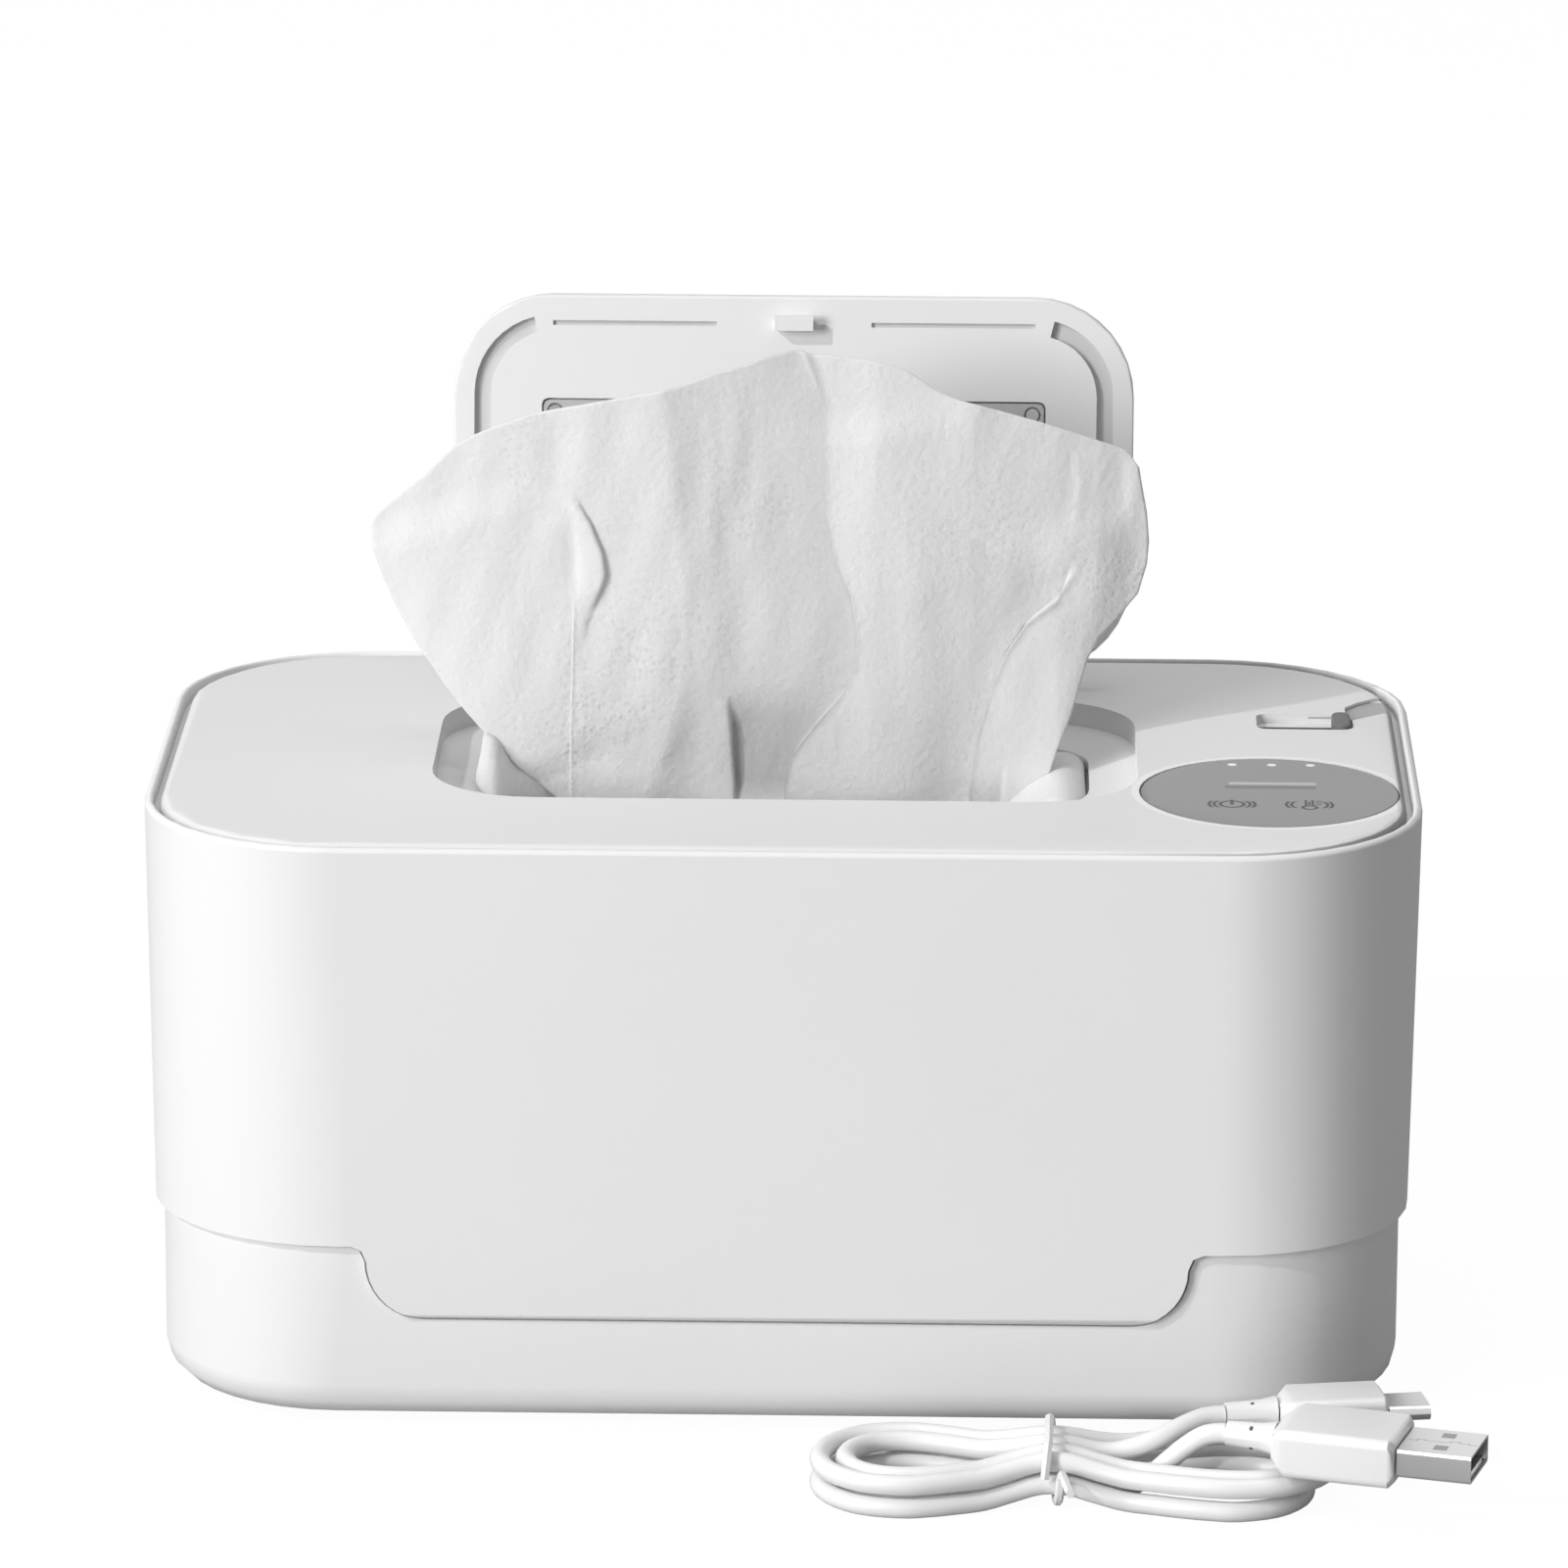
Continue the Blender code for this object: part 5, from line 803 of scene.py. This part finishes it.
# Lines of the folds whose cloth is also shaded, seen from the front, as (x, z) in millimetres
CENTRE_LAP = (
    (-1.6, 171.0), (4.6, 157.1), (5.9, 153.5), (6.1, 144.8), (6.6, 135.4), (8.1, 127.8), (10.5, 122.1),
    (11.5, 116.4), (11.3, 110.6), (9.2, 105.8), (5.0, 101.0), (1.2, 95.6), (-0.9, 86),
)
LONG_HOLLOW = (
    (-22.4, 166.0), (-19.7, 146.5), (-18.7, 137.0), (-17.2, 125.6), (-16.5, 116.1), (-17.2, 107.5),
    (-19.5, 98.8), (-23.7, 86.0),
)
CRESCENT = ((-36.5, 140.1), (-34.6, 137.8), (-32.3, 134.1), (-30.4, 129.3), (-29.9, 125.5), (-32.3, 119.0))
RIGHT_LAP = (
    (47.3, 128.3), (44.3, 121.5), (39.2, 117.6), (35.9, 112.8), (33.6, 107.0), (31.4, 99.3), (29.6, 86),
)
RIGHT_ROLL = ((48.9, 136.9), (49.6, 126.3), (48.7, 118.7), (46.6, 110.0), (44.1, 101.4), (41.8, 88))
FOOT_POCKET = ((-9.9, 106.5), (-9.6, 103.7), (-9.2, 97.0), (-8.4, 86.0))
# Folds of the wipe, in millimetres: a line, then for its left and its right side how far the cloth comes
# forwards and how wide that is, then how wide the step between the two sides is and how far they lap over it
WIPE_FOLDS = (
    (CENTRE_LAP, -3.0, 12, 0.3, 8, 2.2, 1.5),
    (LONG_HOLLOW, 0.5, 9, -1.2, 22, 26, 0),
    (((-13.1, 156.0), (-12.6, 142.8), (-12.1, 125.7)), 0.18, 1.3, 0.18, 1.3, 1, 0),
    (((-6.1, 159.8), (-6.5, 144.7), (-7.0, 135.2)), -0.25, 1.8, -0.25, 1.8, 1, 0),
    (CRESCENT, 0.9, 5, -0.3, 4, 1.6, 1.1),
    (((-37.0, 139.0), (-35.2, 134.0), (-34.5, 129.0), (-34.4, 121.0)), -0.5, 2.2, 0.0, 2, 1.4, 0),
    (((-34.9, 124.0), (-35.1, 110.2), (-35.3, 98.7), (-35.3, 86.0)), -0.2, 5, 0.15, 5, 1.0, 0.9),
    (((-42.0, 140.0), (-38.5, 140.4), (-35.0, 139.6)), -0.3, 1.2, -0.3, 1.2, 1, 0),
    (((-60.0, 137.3), (-54.3, 121.0), (-46.4, 104.5), (-40.0, 91.3)), 1.5, 15, 1.5, 15, 1, 0),
    (((-44.0, 148.0), (-43.0, 139.0), (-41.5, 132.0)), -0.25, 2.5, -0.25, 2.5, 1, 0),
    (((13.5, 154.3), (15.5, 140.2), (16.6, 126.0), (18.1, 111.7), (19.1, 99.2), (19.7, 86)),
     1.3, 12, 1.3, 12, 1, 0),
    (((24.1, 126.0), (26.0, 116.5), (27.1, 102.2), (26.8, 86)), -0.5, 4, -0.5, 4, 1, 0),
    (((46.8, 148.0), (47.5, 140.5), (46.5, 132.0)), 0.22, 0.9, 0.22, 0.9, 1, 0),
    (RIGHT_LAP, -1.8, 9, 0.5, 8, 1.9, 1.5),
    (RIGHT_ROLL, 1.1, 9, 1.1, 5, 1, 0),
    (((54.8, 147.2), (56.2, 141.5), (55.9, 133.0)), 0.3, 1.2, 0.3, 1.2, 1, 0),
    (((35.6, 96.5), (35.0, 86.0)), -0.3, 1.2, 0.2, 1.8, 1, 0),
    (FOOT_POCKET, 0.3, 5, -1.3, 9, 1.6, 1.0),
    (((-20.9, 99.8), (-17.1, 96.9), (-13.3, 86.0)), -0.5, 5, -0.5, 5, 1, 0),
)
# A fold fades out towards both ends of its line over this length in millimetres, but not wholly at its foot
FOLD_FADE = 7
FOOT_SHARE = 0.3
# How much sharper than its step's width a fold without a lap turns to its right side
SOFT_STEP = 3
# Painted shade beside a line, and painted light where the value is negative: the line, then for its left and
# its right side how dark it is and how wide in millimetres
WIPE_SHADES = (
    (CENTRE_LAP, 0.23, 12, -0.06, 40),
    (LONG_HOLLOW, 0.0, 1, 0.09, 14),
    (CRESCENT, 0.0, 1, 0.05, 4),
    (RIGHT_LAP, 0.14, 8, -0.03, 9),
    (RIGHT_ROLL, 0.0, 1, 0.10, 30),
    (FOOT_POCKET, 0.0, 1, 0.30, 14),
)
# The painted shade on the darker side reaches over the step of its fold, and ends within a short width, in
# millimetres
SHADE_SHIFT = 0.9
SHADE_EDGE = 0.9
# The crest of a lapped fold catches the light less than it would: how dark it is, and its place and width as
# shares of the fold's step
CREST_SHADE = 0.42
CREST_PLACE = 0.48
CREST_WIDTH = 0.26
# The broad set of the cloth across: (x, backwards) in millimetres
WIPE_SET = ((-70, 2.2), (-50, 0.6), (-30, 0.0), (14, 0.0), (30, 1.3), (44, 4.0), (52, 6.2), (60, 8.0))
# How much lower the cloth's top edge is for each millimetre that it stands back, so that it looks the same
SET_DROP = 0.27
# Second layers that show in the opening, as coarse (x, y, z) grids in millimetres, rows from the top down
LEFT_LAYER = (
    ((-49.6, 2.6, 99.6), (-48.6, 2.0, 99.4), (-47.6, 2.4, 99.0), (-46.0, 3.6, 98.4), (-43.0, 4.4, 98.0)),
    ((-49.9, -2.4, 96.9), (-48.6, -3.6, 96.7), (-47.3, -3.2, 96.3), (-45.0, 1.6, 94.6), (-41.0, 4.4, 93.0)),
    ((-50.4, -8.0, 93.8), (-48.6, -9.6, 93.6), (-46.8, -9.0, 93.2), (-43.4, -3.0, 91.4), (-38.0, 4.2, 89.0)),
    ((-48.6, -9.6, 90.6), (-47.2, -10.8, 90.4), (-45.8, -10, 90.0), (-42.0, -5.0, 87.0), (-36.0, 3.8, 84.0)),
    ((-47.6, -9.4, 78.0), (-46.4, -10.0, 78.0), (-45.0, -9.4, 77.0), (-41.0, -5.0, 76.0), (-34.0, 3.4, 76.0)),
    ((-46.0, -9.0, 62.8), (-45.0, -9.4, 62.8), (-43.6, -9.0, 62.8), (-39.0, -5.0, 62.8), (-32.0, 3.4, 62.8)),
)
RIGHT_LAYER = (
    ((36.0, 21.6, 88.0), (40.0, 21.6, 90.2), (44.0, 21.6, 91.4), (47.0, 21.4, 91.4), (48.6, 20.6, 90.4)),
    ((36.0, 14.0, 90.0), (40.0, 14.0, 92.2), (44.0, 14.0, 93.2), (47.0, 14.0, 92.8), (48.7, 14.0, 91.4)),
    ((36.0, 4.0, 88.0), (40.0, 4.0, 91.4), (44.0, 4.0, 93.4), (47.0, 4.0, 93.0), (48.7, 4.0, 91.4)),
    ((36.0, -6.0, 86.0), (40.0, -6.0, 90.4), (44.0, -6.0, 92.9), (47.0, -6.0, 92.6), (48.7, -6.0, 91.0)),
    ((36.0, -15.0, 82.0), (40.0, -15.0, 87.4), (43.6, -15.0, 90.6), (46.0, -15.0, 90.4), (47.6, -15.0, 88.4)),
    ((36.0, -18.6, 66.0), (40.0, -18.6, 70.0), (43.4, -18.6, 74.0), (45.0, -18.4, 74.0), (46.6, -18.0, 72.0)),
)
# Where the wipe's foot is, how far back its middle stands and its top leans, and its thickness, in metres
WIPE_FOOT = STACK_TOP + 0.0006
WIPE_MIDDLE_DEPTH = 0.0012
WIPE_TOP_LEAN = 0.0055
CLOTH_THICKNESS = 0.00035
# The wrinkles' number, their greatest height and their range of lengths in millimetres, and how they slant
WRINKLES = 12
WRINKLE_HEIGHT = 0.035
WRINKLE_LENGTHS = (5, 16)
WRINKLE_TURN = 0.7
WRINKLE_SLANT = 0.5
WRINKLE_SEED = 11
# How the wipe's set and wrinkles grow with its height, and its laps from its sides and its top edge
SET_AT_FOOT = 0.35
SET_START = 0.6
WRINKLE_START = 0.5
RISE_SLOPE = 3
LEAN_POWER = 1.5
SIDE_SLOPE = 12
TOP_SLOPE = 9
TOP_SHARE = 0.1


def table(pairs, value):
    return np.interp(value, [p[0] for p in pairs], [p[1] for p in pairs])


def beside_line(x, z, line):
    """How far each point is to the right of a line in millimetres, and 1 beside it but 0 past its ends."""
    best = np.full(x.shape, np.inf)
    side = np.zeros(x.shape)
    run = np.zeros(x.shape)
    total = 0.0
    for (ax, az), (bx, bz) in zip(line, line[1:]):
        length = math.hypot(bx - ax, bz - az)
        along = np.clip(((x - ax) * (bx - ax) + (z - az) * (bz - az)) / length ** 2, 0, 1)
        distance = np.hypot(x - ax - along * (bx - ax), z - az - along * (bz - az))
        nearer = distance < best
        cross = (bx - ax) * (z - az) - (bz - az) * (x - ax)
        best = np.where(nearer, distance, best)
        side = np.where(nearer, np.sign(cross), side)
        run = np.where(nearer, total + along * length, run)
        total += length
    signed = best * side
    return signed, eased(run / FOLD_FADE) * eased((total - run) / FOLD_FADE + FOOT_SHARE)


def fold_shift(x, z, line, left, left_width, right, right_width, step, lap):
    """How far a fold brings each point forwards, and how far it shifts it to the right, in millimetres."""
    signed, fade = beside_line(x, z, line)
    if lap:
        share = eased(signed / step + 0.5)
    else:
        share = 1 - np.exp(-np.maximum(signed, 0) * SOFT_STEP / step)
    power = 1 if lap and left < 0 else 2
    on_left = left * np.exp(-np.abs(np.minimum(signed, 0) / left_width) ** power)
    on_right = right * np.exp(-(np.maximum(signed, 0) / right_width) ** 2)
    shift = -lap * signed * np.exp(-(signed / step) ** 2)
    return fade * (on_left * (1 - share) + on_right * share), fade * shift


def painted_shade(x, z):
    """How much darker the cloth is beside its folds and on their crests: painted shade, and painted light
    where it is negative.
    """
    dark = np.zeros(x.shape)
    for line, left, left_width, right, right_width in WIPE_SHADES:
        signed, fade = beside_line(x, z, line)
        on_left = left * np.exp(np.minimum(signed, 0) / left_width)
        on_right = right * np.exp(-np.maximum(signed, 0) / right_width)
        share = eased((signed - SHADE_SHIFT) / SHADE_EDGE + 0.5)
        dark += fade * (on_left * (1 - share) + on_right * share)
    for line, left, _, _, _, step, lap in WIPE_FOLDS:
        if lap and left < 0:
            signed, fade = beside_line(x, z, line)
            dark += CREST_SHADE * fade * np.exp(-((signed / step - CREST_PLACE) / CREST_WIDTH) ** 2)
    return dark


def wrinkles(x, z):
    """Shallow uneven waves of hanging cloth, in millimetres."""
    chance = np.random.default_rng(WRINKLE_SEED)
    height = np.zeros(x.shape)
    for _ in range(WRINKLES):
        turn = chance.uniform(-WRINKLE_TURN, WRINKLE_TURN)
        length = chance.uniform(*WRINKLE_LENGTHS)
        phase = chance.uniform(0, 2 * math.pi)
        wave = (x * math.cos(turn) + z * math.sin(turn) * WRINKLE_SLANT) * 2 * math.pi / length
        height += WRINKLE_HEIGHT * np.sin(wave + phase)
    return height


def cloth_mesh(name, places, dark=None):
    """A grid of quads through the places, which lie in rows, in millimetres, and its painted shade at each.
    """
    rows, columns = places.shape[0] - 1, places.shape[1] - 1
    shape = bmesh.new()
    bmesh.ops.create_grid(shape, x_segments=columns, y_segments=rows, size=0.5)
    for vertex in shape.verts:
        row, column = round((vertex.co.y + 0.5) * rows), round((vertex.co.x + 0.5) * columns)
        vertex.co = places[row, column] * MILLIMETRE
    mesh = bpy.data.meshes.new(name)
    shape.to_mesh(mesh)
    shape.free()
    mesh.shade_smooth()
    if dark is not None:
        mesh.attributes.new("painted_shade", "FLOAT", "POINT").data.foreach_set("value", dark.reshape(-1))
    return mesh


def wipe_places():
    """The wipe's points in millimetres, rows from its foot to its top edge."""
    across = np.linspace(0, 1, WIPE_COLUMNS + 1)[None, :]
    up = np.linspace(0, 1, WIPE_ROWS + 1)[:, None]
    top_left, top_right = WIPE_TOP_EDGE[0][0], WIPE_TOP_EDGE[-1][0]
    top_x = top_left + (top_right - top_left) * across
    top = table(WIPE_TOP_EDGE, top_x) - SET_DROP * table(WIPE_SET, top_x)
    foot = WIPE_FOOT / MILLIMETRE
    z = foot + (top - foot) * up
    x = table(WIPE_LEFT_EDGE, z) * (1 - across) + table(WIPE_RIGHT_EDGE, z) * across
    forwards = np.zeros(x.shape)
    shift = np.zeros(x.shape)
    for fold in WIPE_FOLDS:
        fold_forwards, fold_sideways = fold_shift(x, z, *fold)
        forwards += fold_forwards
        shift += fold_sideways
    rise = (z - foot) / (top.max() - foot)
    spread = SET_AT_FOOT + (1 - SET_AT_FOOT) * eased(rise * RISE_SLOPE - SET_START)
    y = (WIPE_MIDDLE_DEPTH + WIPE_TOP_LEAN * rise ** LEAN_POWER) / MILLIMETRE - forwards
    y = y + table(WIPE_SET, x) * spread - wrinkles(x, z) * eased(rise * RISE_SLOPE - WRINKLE_START)
    inside = eased(across * SIDE_SLOPE) * eased((1 - across) * SIDE_SLOPE)
    inside = inside * eased((1 - up) * TOP_SLOPE + TOP_SHARE)
    return np.stack([x + shift * inside, y, z], axis=-1), painted_shade(x, z)


def finer(grid, steps=3):
    """A grid with more rows and columns on smooth curves through the given ones."""
    for _ in range(2):
        grid = np.array(smooth_line(grid, steps)).swapaxes(0, 1)
    return grid


def make_cloth(
    name, places, body, replaced, dark=None, thickness=CLOTH_THICKNESS
):
    """A sheet of cloth that takes the place of a soft CAD solid."""
    cloth = add_piece(name, cloth_mesh(name, places, dark), WIPE, body)
    wall = cloth.modifiers.new("thickness", "SOLIDIFY")
    wall.thickness = thickness
    wall.offset = 0
    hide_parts(replaced)
    return cloth


def make_wipe():
    """The wipe that stands up through the opening, and the second layers beside its foot."""
    standing, dark = wipe_places()
    for name, places, flat, shades in (
        ("wipe", standing, (0.132, 0.102), dark),
        ("wipe_layer_left", finer(np.array(LEFT_LAYER)), (0.022, 0.039), None),
        ("wipe_layer_right", finer(np.array(RIGHT_LAYER)), (0.022, 0.042), None),
    ):
        cloth = make_cloth(
            name, places, "housing", "pulled_wipe",
            shades,
        )
        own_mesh(cloth)


make_wipe()


# The stack of wipes, in millimetres

STACK_HALF_WIDTH = 82.0
STACK_HALF_DEPTH = 46.0
STACK_BOTTOM = 4.0
STACK_PLIES = 40
STACK_PLY_THICKNESS = 1.1
# Points of each ply's straight run, how far along it they reach, and points of each bend
STACK_PLY_POINTS = 6
STACK_PLY_SHARE = 0.96
STACK_END_POINTS = 5
STACK_COLUMNS = 20
STACK_SEED = 3
STACK_END_SPREAD = 0.5
STACK_SIDE_SPREAD = 0.6


def stack_places():
    """The folded stack's points in millimetres: one row along X for each step of its path."""
    chance = np.random.default_rng(STACK_SEED)
    low = STACK_BOTTOM + STACK_PLY_THICKNESS / 2
    high = STACK_TOP / MILLIMETRE - STACK_PLY_THICKNESS / 2
    pitch = (high - low) / (STACK_PLIES - 1)
    reach = STACK_HALF_DEPTH - STACK_PLY_THICKNESS / 2 - pitch / 2
    path = []
    for ply in range(STACK_PLIES):
        way = 1 if ply % 2 == 0 else -1
        height = low + ply * pitch
        end = reach - chance.uniform(0, STACK_END_SPREAD)
        run = np.linspace(-STACK_PLY_SHARE, STACK_PLY_SHARE, STACK_PLY_POINTS)
        path += [(way * reach * share, height) for share in run]
        if ply < STACK_PLIES - 1:
            for turn in np.linspace(0, math.pi, STACK_END_POINTS):
                bend = end + pitch / 2 * math.sin(turn)
                path.append((way * bend, height + pitch / 2 * (1 - math.cos(turn))))
    path = np.array(path)
    side = chance.uniform(-STACK_SIDE_SPREAD, 0, STACK_PLIES)
    width = STACK_HALF_WIDTH + np.interp(path[:, 1], low + pitch * np.arange(STACK_PLIES), side)
    x = width[:, None] * np.linspace(-1, 1, STACK_COLUMNS + 1)[None, :]
    return np.stack([x, path[:, 0][:, None] + 0 * x, path[:, 1][:, None] + 0 * x], axis=-1)


def make_stack():
    """The moist wipes that lie folded in the tray."""
    places = stack_places()
    make_cloth(
        "folded_wipes", places, "base", "wipe_stack",
        thickness=STACK_PLY_THICKNESS * MILLIMETRE,
    )


make_stack()


# Floor and light

FLOOR_HALF_WIDTH = 6.0
FLOOR_DROP = 0.0001
FLOOR_TONE = 0.4
FLOOR_GLOW = 1.12
FLOOR_GLOW_SHARE = 0.86
# A small key and a broad low light from the left front, and a soft one overhead: the azimuth from the front
# towards the left and the elevation in degrees, then the distance, the size and the power
LIGHTS = {"key": (50, 37, 2.3, 0.07, 18), "side": (41, 16, 2.3, 0.8, 32), "overhead": (180, 82, 1.9, 1.4, 11)}
LIGHT_TARGET = Vector((0, 0, 0.08))
SKY_ON_PIECES = 0.25
SKY_SEEN = 1.0


def make_stage():
    """A plain pale floor that shows white to the camera and keeps a faint shadow."""
    shape = bmesh.new()
    bmesh.ops.create_grid(shape, x_segments=1, y_segments=1, size=FLOOR_HALF_WIDTH)
    mesh = bpy.data.meshes.new("floor")
    shape.to_mesh(mesh)
    shape.free()
    floor = bpy.data.objects.new("floor", mesh)
    floor.location = (0, 0, -FLOOR_DROP)
    bpy.context.scene.collection.objects.link(floor)
    made, tree, shader = new_material("floor")
    shader.inputs["Base Color"].default_value = grey(FLOOR_TONE)
    shader.inputs["Roughness"].default_value = 0.9
    shader.inputs["Specular IOR Level"].default_value = 0.1
    glow = add_node(tree, "ShaderNodeEmission", {"Strength": FLOOR_GLOW})
    path = add_node(tree, "ShaderNodeLightPath")
    share = product(made, path.outputs["Is Camera Ray"], FLOOR_GLOW_SHARE)
    mixed = add_node(tree, "ShaderNodeMixShader", {0: share, 1: shader.outputs[0], 2: glow.outputs[0]})
    tree.links.new(mixed.outputs[0], tree.nodes["Material Output"].inputs["Surface"])
    mesh.materials.append(made)


def area_light(name, azimuth, elevation, distance, size, power):
    """A square soft light aimed at the warmer."""
    turn, rise = math.radians(azimuth), math.radians(elevation)
    away = Vector((-math.sin(turn) * math.cos(rise), -math.cos(turn) * math.cos(rise), math.sin(rise)))
    lamp = bpy.data.lights.new(name, "AREA")
    lamp.shape = "SQUARE"
    lamp.size = size
    lamp.energy = power
    placed = bpy.data.objects.new(name, lamp)
    placed.location = LIGHT_TARGET + away * distance
    placed.rotation_euler = (-away).to_track_quat("-Z", "Y").to_euler()
    bpy.context.scene.collection.objects.link(placed)


def make_light():
    """The lights, and an even sky that is brighter to the camera and in reflections."""
    for name, values in LIGHTS.items():
        area_light(name, *values)
    world = bpy.data.worlds.new("sky")
    world.use_nodes = True
    tree = world.node_tree
    sky = tree.nodes["Background"]
    sky.inputs["Color"].default_value = grey(1)
    sky.inputs["Strength"].default_value = SKY_ON_PIECES
    seen = add_node(tree, "ShaderNodeBackground", {"Color": grey(1), "Strength": SKY_SEEN})
    path = add_node(tree, "ShaderNodeLightPath")
    any_ray = add_node(
        tree, "ShaderNodeMath", {0: path.outputs["Is Camera Ray"], 1: path.outputs["Is Glossy Ray"]},
        operation="MAXIMUM",
    )
    mixed = add_node(
        tree, "ShaderNodeMixShader", {0: any_ray.outputs[0], 1: sky.outputs[0], 2: seen.outputs[0]}
    )
    tree.links.new(mixed.outputs[0], tree.nodes["World Output"].inputs["Surface"])
    bpy.context.scene.world = world


make_stage()
make_light()
bpy.context.scene.view_settings.view_transform = "Standard"
